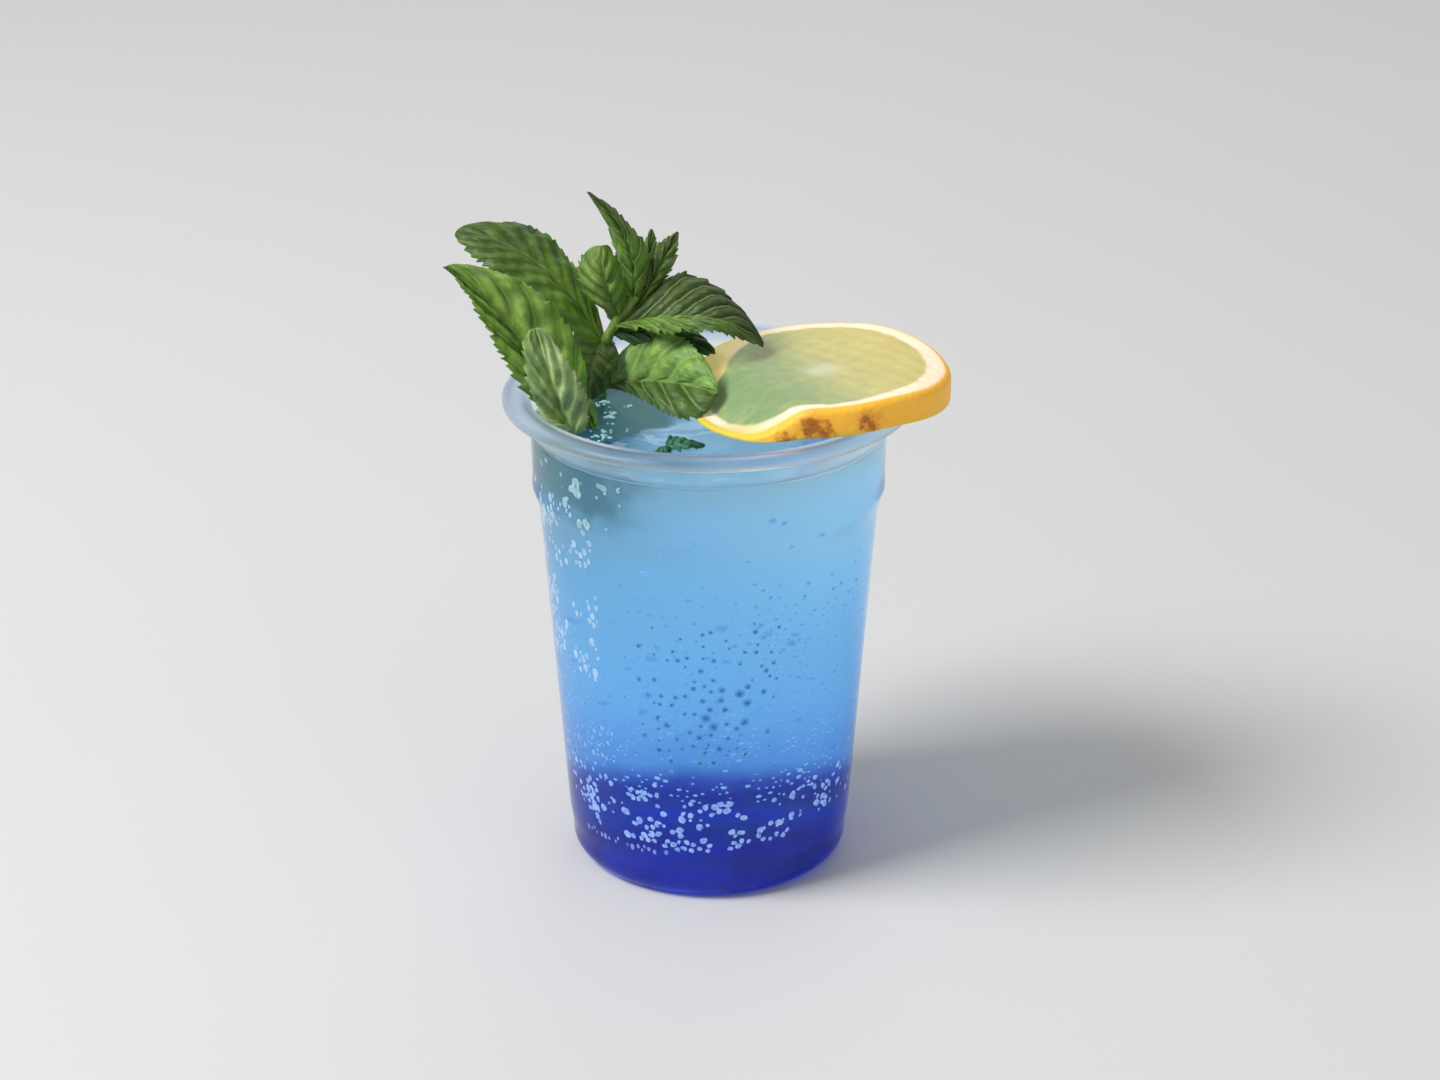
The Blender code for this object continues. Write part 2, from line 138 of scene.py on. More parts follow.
class Graph:
    """A shader or geometry node tree, with short calls that add and link its nodes."""

    def __init__(self, tree: bpy.types.NodeTree) -> None:
        """Start on a tree that exists."""
        self.tree = tree

    @classmethod
    def group_tree(
        cls, name: str, kind: str, inputs: dict[str, object], outputs: dict[str, str]
    ) -> "Graph":
        """Make a group with its sockets.

        Args:
            name: The group's name.
            kind: The tree's type.
            inputs: Each input's default, or its socket type where it has none.
            outputs: Each output's socket type.

        Returns:
            The graph of the new group.
        """
        tree = bpy.data.node_groups.new(name, kind)
        for label, default in inputs.items():
            socket_type = default if isinstance(default, str) else KINDS[type(default)]
            socket = tree.interface.new_socket(name=label, in_out="INPUT", socket_type=socket_type)
            if not isinstance(default, str):
                socket.default_value = default
        for label, socket_type in outputs.items():
            tree.interface.new_socket(name=label, in_out="OUTPUT", socket_type=socket_type)
        return cls(tree)

    def add(
        self, kind: str, puts: dict[int | str, object] | None = None, out: int | str = 0, **settings: object
    ) -> Value:
        """Add a node.

        Args:
            kind: The node's type name.
            puts: What goes into its inputs, by name or number.
            out: The output to give.
            **settings: Properties to set on it.

        Returns:
            That output.
        """
        made = self.tree.nodes.new(kind)
        for name, value in settings.items():
            setattr(made, name, value)
        self.fill(made.inputs, puts or {})
        return Value(self, made.outputs[out])

    def fill(self, inputs: bpy.types.bpy_prop_collection, puts: dict[int | str, object]) -> None:
        """Link inputs to other sockets, or set them to plain values.

        Args:
            inputs: A node's inputs.
            puts: What goes into them, by name or number.
        """
        for name, value in puts.items():
            if isinstance(value, Value):
                self.tree.links.new(value.socket, inputs[name])
            else:
                inputs[name].default_value = value

    def finish(self, puts: dict[str, object]) -> bpy.types.NodeTree:
        """Fill the group's own outputs, and give its tree."""
        self.fill(self.tree.nodes.new("NodeGroupOutput").inputs, puts)
        return self.tree

    def math(self, operation: str, *terms: object) -> Value:
        """Combine values with one Math node."""
        return self.add("ShaderNodeMath", dict(enumerate(terms)), operation=operation)

    def vector(self, operation: str, puts: dict[int | str, object], out: int | str = 0) -> Value:
        """Combine places with one Vector Math node."""
        return self.add("ShaderNodeVectorMath", puts, out, operation=operation)

    def between(self, value: Value, low: float, high: float) -> Value:
        """Smooth share from 0 to 1 of a value as it goes from low to high."""
        puts = {"Value": value, "From Min": low, "From Max": high}
        return self.add("ShaderNodeMapRange", puts, "Result", interpolation_type="SMOOTHSTEP")

    def mix(self, share: object, low: object, high: object, way: str = "MIX") -> Value:
        """Mix two colours.

        Args:
            share: How much of the second, from 0 to 1.
            low: First colour.
            high: Second colour.
            way: Blend type.

        Returns:
            The mixed colour.
        """
        low, high = ((*value, 1.0) if isinstance(value, tuple) else value for value in (low, high))
        return self.add("ShaderNodeMix", {0: share, 6: low, 7: high}, 2, data_type="RGBA", blend_type=way)

    def ramp(self, share: Value, stops: list[tuple[float, Colour]]) -> Value:
        """Colour read off a row of stops.

        Args:
            share: Place along the row, from 0 to 1.
            stops: Each stop's place and colour.

        Returns:
            The colour there.
        """
        made = self.add("ShaderNodeValToRGB", {0: share})
        row = made.socket.node.color_ramp.elements
        while len(row) < len(stops):
            row.new(0.5)
        for element, (place, colour) in zip(row, stops):
            element.position = place
            element.color = (*colour, 1.0)
        return made

    def noise(self, place: Value, scale: object, detail: float = 2.0) -> Value:
        """Soft noise from 0 to 1 at a place."""
        return self.add("ShaderNodeTexNoise", {"Vector": place, "Scale": scale, "Detail": detail}, "Fac")

    def cells(self, place: Value, scale: object, feature: str = "F1") -> Value:
        """Distance of a place from the middle or the edge of its Voronoi cell."""
        puts = {"Vector": place, "Scale": scale}
        return self.add("ShaderNodeTexVoronoi", puts, "Distance", feature=feature)

    def stretch(self, place: Value, by: Point) -> Value:
        """Scale a place."""
        return self.add("ShaderNodeMapping", {"Vector": place, "Scale": by})

    def attribute(self, name: str, output: str = "Fac") -> Value:
        """Read a named attribute of the mesh."""
        return self.add("ShaderNodeAttribute", out=output, attribute_name=name)

    def place(self) -> Value:
        """Object coordinates."""
        return self.add("ShaderNodeTexCoord", out="Object")

    def parts(self, place: Value) -> list[Value]:
        """Split a place into its three coordinates."""
        split = self.add("ShaderNodeSeparateXYZ", {0: place})
        return [split.output(axis) for axis in "XYZ"]

    def join(self, x: object, y: object, z: object) -> Value:
        """Make a place of three coordinates."""
        return self.add("ShaderNodeCombineXYZ", {0: x, 1: y, 2: z})

    def bump(self, height: Value, depth: float, strength: float) -> Value:
        """Normal of a surface raised by a height, depth metres from 0 to 1."""
        return self.add("ShaderNodeBump", {"Height": height, "Distance": depth, "Strength": strength})

    def group(self, tree: bpy.types.NodeTree, puts: dict[str, object]) -> Value:
        """Place a node group, fill its inputs and give its first output.

        Args:
            tree: The group.
            puts: What goes into its inputs, by name.

        Returns:
            Its first output.
        """
        made = self.tree.nodes.new("ShaderNodeGroup")
        made.node_tree = tree
        self.fill(made.inputs, puts)
        return Value(self, made.outputs[0])

    def mottle(self, place: Value, broad: float, fine: float, amount: float) -> Value:
        """Uneven colour about 0, from the shared group."""
        puts = {"Place": place, "Broad Scale": broad, "Fine Scale": fine, "Amount": amount}
        return self.group(Patterns.uneven_colour(), puts)


class Finish:
    """Base of every finish: one Principled material, made once and then shared."""

    @cache
    def material(self) -> bpy.types.Material:
        """Build this finish's material the first time, and give the same one after that.

        Returns:
            The material.
        """
        built = bpy.data.materials.new(self.label)
        built.use_nodes = True
        graph = Graph(built.node_tree)
        graph.fill(built.node_tree.nodes["Principled BSDF"].inputs, self.wire(graph))
        return built

    def wire(self, graph: Graph) -> dict[str, object]:
        """What goes into the Principled shader's inputs. Each finish has its own."""
        raise NotImplementedError


class Patterns:
    """Shader node groups that more than one finish uses, each built once."""

    @staticmethod
    @cache
    def uneven_colour() -> bpy.types.NodeTree:
        """Broad clouds with finer ones on them, about a middle of 0.

        Returns:
            The group.
        """
        inputs = {"Place": "NodeSocketVector", "Broad Scale": 60.0, "Fine Scale": 400.0, "Amount": 1.0}
        graph = Graph.group_tree("uneven_colour", "ShaderNodeTree", inputs, {"Value": KINDS[float]})
        given = graph.add("NodeGroupInput")
        broad = graph.noise(given.output("Place"), given.output("Broad Scale"))
        fine = graph.noise(given.output("Place"), given.output("Fine Scale"), 3.0)
        return graph.finish({"Value": (broad + fine * 0.6 - 0.8) * given.output("Amount")})

    @staticmethod
    @cache
    def fine_pores() -> bpy.types.NodeTree:
        """Small round dimples at an uneven pitch: 1 between them and 0 in their middles.

        Returns:
            The group.
        """
        inputs = {"Place": "NodeSocketVector", "Pitch Scale": 900.0, "Width": 0.5}
        graph = Graph.group_tree("fine_pores", "ShaderNodeTree", inputs, {"Height": KINDS[float]})
        given = graph.add("NodeGroupInput")
        spots = graph.cells(given.output("Place"), given.output("Pitch Scale"))
        return graph.finish({"Height": graph.between(spots / given.output("Width"), 0.0, 1.0)})

    @staticmethod
    @cache
    def leaf_veins() -> bpy.types.NodeTree:
        """A leaf's veins and its quilting, from where a point is across and along it.

        Returns:
            The group.
        """
        inputs = {"Across": 0.0, "Phase": 0.0, "Rib Width": 0.035, "Vein Width": 0.07}
        outputs = dict.fromkeys(("Rib", "Veins", "Net", "Quilt"), KINDS[float])
        graph = Graph.group_tree("leaf_veins", "ShaderNodeTree", inputs, outputs)
        given = graph.add("NodeGroupInput")
        across, phase = given.output("Across"), given.output("Phase")
        outward = abs(across)
        off = abs(graph.math("FRACT", phase + 0.5) - 0.5)
        width = given.output("Vein Width") * (1.25 - outward * 0.75)
        veins = 1.0 - graph.between(off / width, 0.3, 1.2)
        net = graph.cells(graph.join(phase * 2.6, across * 7.0, 0.0), 1.0, "DISTANCE_TO_EDGE")
        return graph.finish({
            "Rib": 1.0 - graph.between(outward / given.output("Rib Width"), 0.5, 1.3),
            "Veins": veins * (1.0 - graph.between(outward, 0.82, 1.0)),
            "Net": 1.0 - graph.between(net, 0.02, 0.22),
            "Quilt": graph.between(off * 2.0, 0.0, 0.75) + graph.between(net, 0.0, 0.4) * 0.45,
        })


@dataclass(frozen=True)
class ClearPlastic(Finish):
    """Thin clear plastic, hazier and bluer where it is thick, at the rim, with a painted glow for the light
    that scatters in it.
    """

    label: str = "clear_plastic"
    thin: Colour = (0.955, 0.968, 0.985)
    thick: Colour = (0.70, 0.79, 0.93)
    glow: Colour = (0.016, 0.023, 0.033)
    lip_highlight: Colour = (0.16, 0.17, 0.22)
    neck_glow: Colour = (0.012, 0.028, 0.026)
    side_glow: Colour = (0.090, 0.112, 0.104)

    def wire(self, graph: Graph) -> dict[str, object]:
        """Clear, glossy and faintly smeared, with painted light: a glowing haze over the rim, a painted
        highlight line along the lip, and a faint glow round the neck that is brighter at the sides.

        Args:
            graph: The material's graph.

        Returns:
            The shader's inputs by name.
        """
        place = graph.place()
        x, y, z = graph.parts(place)
        smear = graph.mottle(graph.stretch(place, (1.0, 1.0, 0.25)), 70.0, 520.0, 0.10)
        rim = graph.between(z, 0.1160, 0.1182)
        neck = graph.between(z, 0.1070, 0.1165)
        reach = graph.math("SQRT", x * x + y * y)
        # Painted highlight: a bright line along the outer lip
        lip_line = graph.between(reach, 0.0474, 0.0486) * graph.between(z, 0.1168, 0.1174)
        lip_line = lip_line * (1.0 - graph.between(z, 0.1178, 0.1190))
        glow = graph.mix(lip_line * 0.6, self.glow, self.lip_highlight)
        # Painted glow round the neck under the rim, brighter towards the sides
        neck_glow_colour = graph.mix(graph.between(abs(x), 0.008, 0.032), self.neck_glow, self.side_glow)
        neck_glow_colour = graph.mix(graph.between(z, 0.1106, 0.1128), BLACK, neck_glow_colour)
        ripple = graph.noise(graph.stretch(place, (1.0, 1.0, 0.35)), 150.0, 1.0)
        return {
            "Base Color": graph.mix(rim, self.thin, self.thick),
            "Roughness": smear + (0.06 + (rim * 0.16 + neck * 0.12)),
            # All the emission here is painted glow
            "Emission Color": graph.mix(rim, neck_glow_colour, glow),
            "Emission Strength": 1.0,
            "Specular IOR Level": 0.22,
            "IOR": 1.28,
            "Transmission Weight": 1.0,
            "Metallic": 0.0,
            "Normal": graph.bump(ripple, 0.0003, 0.30),
        }


@dataclass(frozen=True)
class BlueLayers(Finish):
    """The drink: dark blue syrup that fades upwards into pale blue soda.

    Every tint is read by height, as a share of the drink's own. The faint glow is painted light that stands
    for the light scattering about inside the drink: it is strongest at the very bottom, and brighter towards
    the right up high.
    """

    label: str = "blue_layers"
    near: tuple[tuple[float, Colour], ...] = (
        (0.00, (0.010, 0.026, 0.62)),
        (0.02, (0.002, 0.008, 0.38)),
        (0.140, (0.002, 0.010, 0.38)),
        (0.190, (0.002, 0.018, 0.42)),
        (0.270, (0.004, 0.034, 0.45)),
        (0.300, (0.030, 0.130, 0.66)),
        (0.338, (0.110, 0.400, 0.93)),
        (0.45, (0.170, 0.540, 0.98)),
        (0.70, (0.215, 0.630, 0.985)),
        (0.93, (0.290, 0.620, 0.88)),
        (1.00, (0.280, 0.510, 0.64)),
    )
    far: tuple[tuple[float, Colour], ...] = (
        (0.00, (0.005, 0.012, 0.36)),
        (0.080, (0.005, 0.012, 0.36)),
        (0.128, (0.090, 0.340, 0.89)),
        (0.30, (0.170, 0.540, 0.98)),
        (0.70, (0.215, 0.630, 0.985)),
        (1.00, (0.320, 0.600, 0.82)),
    )
    glow: tuple[tuple[float, Colour], ...] = (
        (0.00, (0.004, 0.020, 0.330)),
        (0.02, (0.000, 0.003, 0.044)),
        (0.140, (0.000, 0.005, 0.050)),
        (0.200, (0.000, 0.020, 0.058)),
        (0.270, (0.000, 0.010, 0.050)),
        (0.338, (0.016, 0.042, 0.095)),
        (0.70, (0.020, 0.042, 0.085)),
        (0.93, (0.030, 0.050, 0.070)),
        (1.00, (0.044, 0.050, 0.046)),
    )

    def wire(self, graph: Graph) -> dict[str, object]:
        """Tint by height and side, with slow swirls where the two layers meet.

        Args:
            graph: The material's graph.

        Returns:
            The shader's inputs by name.
        """
        place = graph.place()
        x, y, z = graph.parts(place)
        between, mix = graph.between, graph.mix
        swirl = graph.noise(graph.stretch(place, (1.0, 1.0, 0.7)), 75.0)
        wobble = (graph.noise(place, 170.0) - 0.5) * 0.012
        lower = between(y, -0.036, 0.002) * 0.013 * (between(z, 0.003, 0.012) - between(z, 0.050, 0.075))
        level = (z + (swirl - 0.5) * 0.006) / LEVEL
        near_level = level + lower / LEVEL
        near, glow = graph.ramp(near_level, self.near), graph.ramp(near_level, self.glow)
        # Painted light: the upper part glows brighter towards the right
        glow = mix(between(x, -0.010, 0.034) * between(level, 0.5, 0.9) * 0.55, glow, (0.110, 0.150, 0.140))
        # Painted shade on the upper left, and a darker teal patch in its upper corner that stands for the
        # mint sunk there and the shade it casts; neither has any glow
        left_shade = (1.0 - between(x, -0.044, 0.004)) * between(level, 0.50, 1.0)
        near = mix(left_shade * 0.70, near, (0.13, 0.34, 0.42))
        sunk_mint_shade = (1.0 - between(x + wobble, -0.027, -0.008)) * between(z + wobble * 0.6, 0.0950, 0.1025)
        shade_teal = mix(between(x, -0.037, -0.026), (0.060, 0.195, 0.180), (0.034, 0.140, 0.155))
        near = mix(sunk_mint_shade * 0.94, near, shade_teal)
        glow = mix(graph.math("MAXIMUM", left_shade, sunk_mint_shade), glow, BLACK)
        # The surface: painted shade and reflection of the mint over its back left, and a paler brim with a
        # painted glow
        top = between(z, 0.1104, 0.1109)
        mint = between(y - x * 0.776 + wobble, 0.0030, 0.0072) * (1.0 - between(x, -0.011, -0.002)) * top
        near = mix(mint * 0.95, near, (0.040, 0.090, 0.055))
        glow = mix(mint, glow, (0.0, 0.016, 0.014))
        brim = between(graph.math("SQRT", x * x + y * y), 0.0330, 0.0405) * top
        near = mix(brim * 0.5, near, (0.20, 0.42, 0.54))
        brim_glow = mix(between(x, -0.030, -0.006), (0.060, 0.110, 0.110), (0.068, 0.116, 0.136))
        brim_glow = mix(between(x, 0.004, 0.030), brim_glow, (0.170, 0.215, 0.205))
        ripples = graph.noise(graph.stretch(place, (1.0, 1.6, 1.0)), 95.0, 1.0)
        facing_away = graph.add("ShaderNodeNewGeometry", out="Backfacing")
        return {
            "Base Color": mix(facing_away, near, graph.ramp(level, self.far)),
            "Emission Color": mix(brim * 0.85, glow, brim_glow),
            "Emission Strength": 1.0,
            "Normal": graph.bump(ripples * top * (1.0 - mint * 0.8), 0.0012, 0.5),
            "Roughness": 0.05 + mint * 0.45,
            "Specular IOR Level": 0.12,
            "IOR": 1.30,
            "Transmission Weight": 0.88,
            "Metallic": 0.0,
        }


@dataclass(frozen=True)
class Bubble(Finish):
    """Gas bubbles on the inside of the wall."""

    label: str = "pale_bubbles"
    light: Colour = from_srgb(205, 224, 240)
    dark: Colour = from_srgb(140, 180, 225)
    transmission: float = 0.25
    # glow sets the painted glow, and ring the share of the painted lighter rim
    glow: float = 0.35
    ring: float = 0.3
    edge: Colour | None = None
    body: float = 0.5

    def wire(self, graph: Graph) -> dict[str, object]:
        """Soft, each a little different, and blending into the drink at its edge. Their light is painted:
        each glows, and is painted darker in the middle and lighter towards its rim.

        Args:
            graph: The material's graph.

        Returns:
            The shader's inputs by name.
        """
        shade = graph.between(graph.noise(graph.place(), 620.0, 1.0), 0.35, 0.65)
        bead_out = graph.attribute("bead_out")
        # Painted light: darker in the middle and lighter towards the rim
        shade = shade * (1.0 - self.ring) + graph.between(bead_out, 0.20, 0.90) * self.ring
        colour = graph.mix(shade, self.dark, self.light)
        if self.edge:
            colour = graph.mix(graph.between(bead_out, 0.70, 1.0), colour, self.edge)
        return {
            "Base Color": graph.mix(self.body, BLACK, colour),
            "Emission Color": colour,
            "Emission Strength": self.glow,
            "Roughness": 0.26,
            "IOR": 1.20,
            "Transmission Weight": self.transmission,
        }


@dataclass(frozen=True)
class CitrusFlesh(Finish):
    """The whole slice: core, flesh with its segments, pith, and rind with pores and scars."""

    label: str = "citrus"
    flesh_edge: float = 0.875
    pith_edge: float = 0.950
    scars: tuple[tuple[Point, float], ...] = (
        ((0.0178, -0.0335, 0.1190), 0.0024),
        ((0.0238, -0.0350, 0.1228), 0.0036),
        ((0.0262, -0.0350, 0.1215), 0.0026),
        ((0.0368, -0.0335, 0.1232), 0.0030),
    )

    def flesh(self, graph: Graph, x: Value, y: Value, out: Value, mottle: Value) -> Value:
        """Soft pulp: its sacs, the faint films between segments and the white core.

        Args:
            graph: The material's graph.
            x: Place to the right.
            y: Place away from the camera.
            out: Share of the way out from the core.
            mottle: Uneven colour about 0.

        Returns:
            The colour of the flesh.
        """
        greens = (130, 160, 113), (140, 160, 107), (181, 179, 113), (203, 187, 105)
        stops = [(at, from_srgb(*green)) for at, green in zip((0.0, 0.30, 0.60, 1.0), greens)]
        colour = graph.ramp(graph.between(x + y * 0.35, -0.006, 0.050), stops)
        sac_place = graph.join(out * 4.5, graph.attribute("slice_turn") * 34.0, 0.0)
        sac_edge = 1.0 - graph.between(graph.cells(sac_place, 1.0, "DISTANCE_TO_EDGE"), 0.0, 0.22)
        film = 1.0 - graph.between(graph.attribute("slice_wedge"), 0.0, 0.0013)
        core = 1.0 - graph.between(graph.attribute("slice_core") + mottle * 0.25, 0.01, 0.24)
        for share, red, green, blue in (
            (sac_edge * 0.045, 226, 220, 160),
            (mottle * 0.9, 236, 224, 150),
            (film * 0.05, 226, 220, 176),
            (core * 0.48, 216, 214, 198),
        ):
            colour = graph.mix(share, colour, from_srgb(red, green, blue))
        return colour

    def rind(self, graph: Graph, place: Value, x: Value, mottle: Value) -> Value:
        """Orange rind: greener low down, yellower at the left, with brown scars.

        Args:
            graph: The material's graph.
            place: Object coordinates.
            x: Place to the right.
            mottle: Uneven colour about 0.

        Returns:
            The colour of the rind.
        """
        yellows = (224, 204, 76), (250, 198, 76), (255, 190, 62), (252, 188, 62)
        stops = [(at, from_srgb(*yellow)) for at, yellow in zip((0.0, 0.30, 0.62, 1.0), yellows)]
        colour = graph.ramp(graph.between(x, -0.004, 0.046), stops)
        low = graph.between(graph.attribute("slice_side"), 0.62, 1.0)
        reach: Value | None = None
        for spot, size in self.scars:
            share = graph.vector("DISTANCE", {0: place, 1: spot}, "Value") / size
            reach = share if reach is None else graph.math("MINIMUM", reach, share)
        worn = reach + (graph.noise(place, 620.0, 4.0) - 0.5) * 3.4
        for share, red, green, blue in (
            (mottle * 1.1, 250, 206, 84),
            (low * 0.50, 196, 184, 54),
            ((1.0 - graph.between(reach, 0.4, 1.5)) * 0.45, 228, 132, 44),
            ((1.0 - graph.between(worn, 0.05, 1.25)) * 0.78, 140, 72, 24),
        ):
            colour = graph.mix(share, colour, from_srgb(red, green, blue))
        return colour

    def wire(self, graph: Graph) -> dict[str, object]:
        """Read how far out and round a point is, and colour it by the part it lies in.

        Args:
            graph: The material's graph.

        Returns:
            The shader's inputs by name.
        """
        place, out, between, mix = graph.place(), graph.attribute("slice_out"), graph.between, graph.mix
        x, y, _ = graph.parts(place)
        mottle = graph.mottle(place, 85.0, 420.0, 1.0)
        # The back left: a wider pith in a duller tan, partly painted shade, lying in the leaves' shadow; the
        # painted glow is raised there against that shadow
        back_pith_and_painted_light = between(x, 0.015, 0.004) * between(y, -0.006, 0.000)
        warped = out + (between(x, 0.028, 0.054) * 0.060 + back_pith_and_painted_light * 0.130) + mottle * 0.035
        pith = mix(0.5 + mottle, from_srgb(250, 226, 186), from_srgb(254, 240, 216))
        pith = mix(back_pith_and_painted_light, pith, from_srgb(230, 212, 138))
        front = between(x, 0.020, 0.004) * between(y, -0.018, -0.024)
        pith = mix(front * 0.8, pith, from_srgb(236, 196, 116))
        is_pith = between(warped, self.flesh_edge - 0.030, self.flesh_edge + 0.012)
        face = mix(is_pith, self.flesh(graph, x, y, out, mottle), pith)
        skin = between(out, self.pith_edge - 0.022, self.pith_edge + 0.012)
        rind = self.rind(graph, place, x, mottle)
        pulp = 1.0 - between(out, self.flesh_edge - 0.03, self.flesh_edge)
        pores = graph.group(Patterns.fine_pores(), {"Place": place, "Pitch Scale": 620.0, "Width": 0.55})
        relief = pores * skin * 0.55 + graph.noise(place, 330.0, 3.0) * 0.9
        return {
            "Base Color": mix(skin, face, rind),
            # Painted glow on the face and rind, lifting the shade on the parts turned from the lamps;
            # stronger at the back left
            "Emission Color": mix(0.32 + back_pith_and_painted_light * 0.68, BLACK, mix(skin, mix(0.9, BLACK, face), rind)),
            "Emission Strength": 0.44,
            "Roughness": 0.46 - pulp * 0.14 + mottle * 0.2,
            "Subsurface Weight": 0.30,
            "Subsurface Radius": (1.0, 0.7, 0.3),
            "Subsurface Scale": 0.0025,
            "Specular IOR Level": 0.28,
            "Normal": graph.bump(relief, 0.00022, 0.8),
        }


@dataclass(frozen=True)
class MintLeaf(Finish):
    """Mint leaf: quilted green with paler veins and a greyer underside, with painted shade in its hollows and
    painted highlights on its crests.
    """

    label: str = "mint_leaf"

    def wire(self, graph: Graph) -> dict[str, object]:
        """Colour by the leaf's own tone and its veins, with painted shade in the hollows of its folds and
        quilting and painted highlights on their crests.

        Args:
            graph: The material's graph.

        Returns:
            The shader's inputs by name.
        """
        place, between, mix = graph.place(), graph.between, graph.mix
        tone = graph.attribute("leaf_tone", "Color")
        fold, veins_and_hollow_shade = graph.attribute("leaf_fold"), graph.attribute("leaf_veins_and_shade")
        rib = graph.group(Patterns.leaf_veins(), {
            "Across": graph.attribute("leaf_across"), "Phase": graph.attribute("leaf_phase"),
            "Rib Width": 0.045, "Vein Width": 0.085,
        })
        quilt = rib.output("Quilt")
        mottle = graph.mottle(place, 150.0, 900.0, 1.0)
        deep = mix(1.0, tone, (0.54, 0.62, 0.46), "MULTIPLY")
        light = mix(1.0, tone, (1.55, 1.46, 1.15), "MULTIPLY")
        colour = mix(0.5 + mottle * 2.4, deep, light)
        drift = between(graph.noise(place, 210.0), 0.36, 0.64)
        colour = mix(1.0, colour, mix(drift, (0.88, 0.98, 1.14), (1.12, 1.05, 0.80)), "MULTIPLY")
        # Painted shade in the hollows of the folds, and painted highlights on their crests
        colour = mix(between(fold, 0.45, 0.0) * 0.55, colour, deep)
        colour = mix(between(fold, 0.55, 1.0) * 0.50, colour, light)
        # Painted shade in the hollows of the quilting, deeper where the veins are strong
        colour = mix(between(1.0 - quilt, 0.0, 1.0) * (0.18 + veins_and_hollow_shade * 0.8), colour, deep)
        veins = graph.math("MAXIMUM", rib * (veins_and_hollow_shade + 0.25), rib.output("Veins") * veins_and_hollow_shade)
        veins = graph.math("MAXIMUM", veins, rib.output("Net") * 0.10)
        colour = mix(veins, colour, mix(0.55, light, (0.38, 0.52, 0.20)))
        pale = mix(0.30, colour, (0.30, 0.42, 0.24))
        # Painted highlight on the crests of the quilting
        colour = mix(between(quilt, 0.75, 1.4) * 0.35, colour, mix(0.45, light, (0.36, 0.50, 0.24)))
        relief = quilt * (0.35 + veins_and_hollow_shade * 1.3) - rib * veins_and_hollow_shade
        relief = relief + graph.noise(place, 1500.0) * 0.35
        return {
            "Base Color": mix(graph.attribute("leaf_under") * 0.9, colour, pale),
            "Roughness": 0.44 + mottle * 0.25,
            "Specular IOR Level": 0.30,
            "Subsurface Weight": 0.16,
            "Subsurface Radius": (0.5, 1.0, 0.2),
            "Subsurface Scale": 0.0012,
            "Normal": graph.bump(relief, 0.00022, 0.85),
        }


@dataclass(frozen=True)
class MintStem(Finish):
    """Mint stem: pale green, ridged along its length."""

    label: str = "mint_stem"

    def wire(self, graph: Graph) -> dict[str, object]:
        """Streaks along the stem.

        Args:
            graph: The material's graph.

        Returns:
            The shader's inputs by name.
        """
        place = graph.place()
        streak = graph.noise(graph.stretch(place, (1.0, 1.0, 0.12)), 900.0)
        mottle = graph.mottle(place, 120.0, 700.0, 0.8)
        share = graph.between(streak, 0.3, 0.7) + mottle
        return {
            "Base Color": graph.mix(share, from_srgb(92, 122, 48), from_srgb(140, 168, 76)),
            "Roughness": 0.42 + mottle * 0.2,
            "Subsurface Weight": 0.15,
            "Subsurface Scale": 0.001,
            "Normal": graph.bump(streak, 0.00012, 0.8),
        }


@dataclass(frozen=True)
class PaleFloor(Finish):
    """Plain pale floor."""

    label: str = "pale_floor"
    colour: Colour = (0.70, 0.70, 0.70)

    def wire(self, graph: Graph) -> dict[str, object]:
        """Matte, with a very faint unevenness.

        Args:
            graph: The material's graph.

        Returns:
            The shader's inputs by name.
        """
        lighter = tuple(min(1.0, channel * 1.05) for channel in self.colour)
        colour = graph.mix(0.5 + graph.mottle(graph.place(), 3.0, 14.0, 0.5), self.colour, lighter)
        return {"Base Color": colour, "Roughness": 0.75, "Specular IOR Level": 0.2}


def rounded(outline: Outline, radius: float, steps: int = 4) -> Outline:
    """Round the corners of an outline.

    Args:
        outline: (radius, height) points.
        radius: Reach of each rounding along its two sides, at most.
        steps: Spans in each rounded corner.

    Returns:
        The outline with each inner corner replaced by a small curve.
    """
    points = [Vector(point) for point in outline]
    result = [tuple(points[0])]
    for before, corner, after in zip(points, points[1:], points[2:]):
        reach = min(radius, (corner - before).length * 0.45, (after - corner).length * 0.45)
        start = corner + (before - corner).normalized() * reach
        end = corner + (after - corner).normalized() * reach
        for step in range(steps + 1):
            share = step / steps
            near, far = start.lerp(corner, share), corner.lerp(end, share)
            result.append(tuple(near.lerp(far, share)))
    result.append(tuple(points[-1]))
    return result


def turned(outline: Outline, segments: int) -> tuple[np.ndarray, Faces]:
    """Turn an outline that starts and ends on the axis about Z.

    Args:
        outline: (radius, height) points, from the axis under the shape round to the axis over it.
        segments: Steps round the axis.

    Returns:
        The points and the faces, which point outwards.
    """
    inner = outline[1:-1]
    turns = np.arange(segments) * 2 * math.pi / segments
    rings = [
        np.stack([radius * np.cos(turns), radius * np.sin(turns), np.full(segments, height)], 1)
        for radius, height in inner
    ]
    points = np.concatenate(rings + [[(0.0, 0.0, outline[0][1])], [(0.0, 0.0, outline[-1][1])]])
    foot, head = len(points) - 2, len(points) - 1
    faces: Faces = []
    for turn in range(segments):
        following = (turn + 1) % segments
        faces.append((foot, following, turn))
        last = (len(inner) - 1) * segments
        faces.append((last + turn, last + following, head))
        for ring in range(len(inner) - 1):
            low, high = ring * segments, (ring + 1) * segments
            faces.append((low + turn, low + following, high + following, high + turn))
    return points, faces


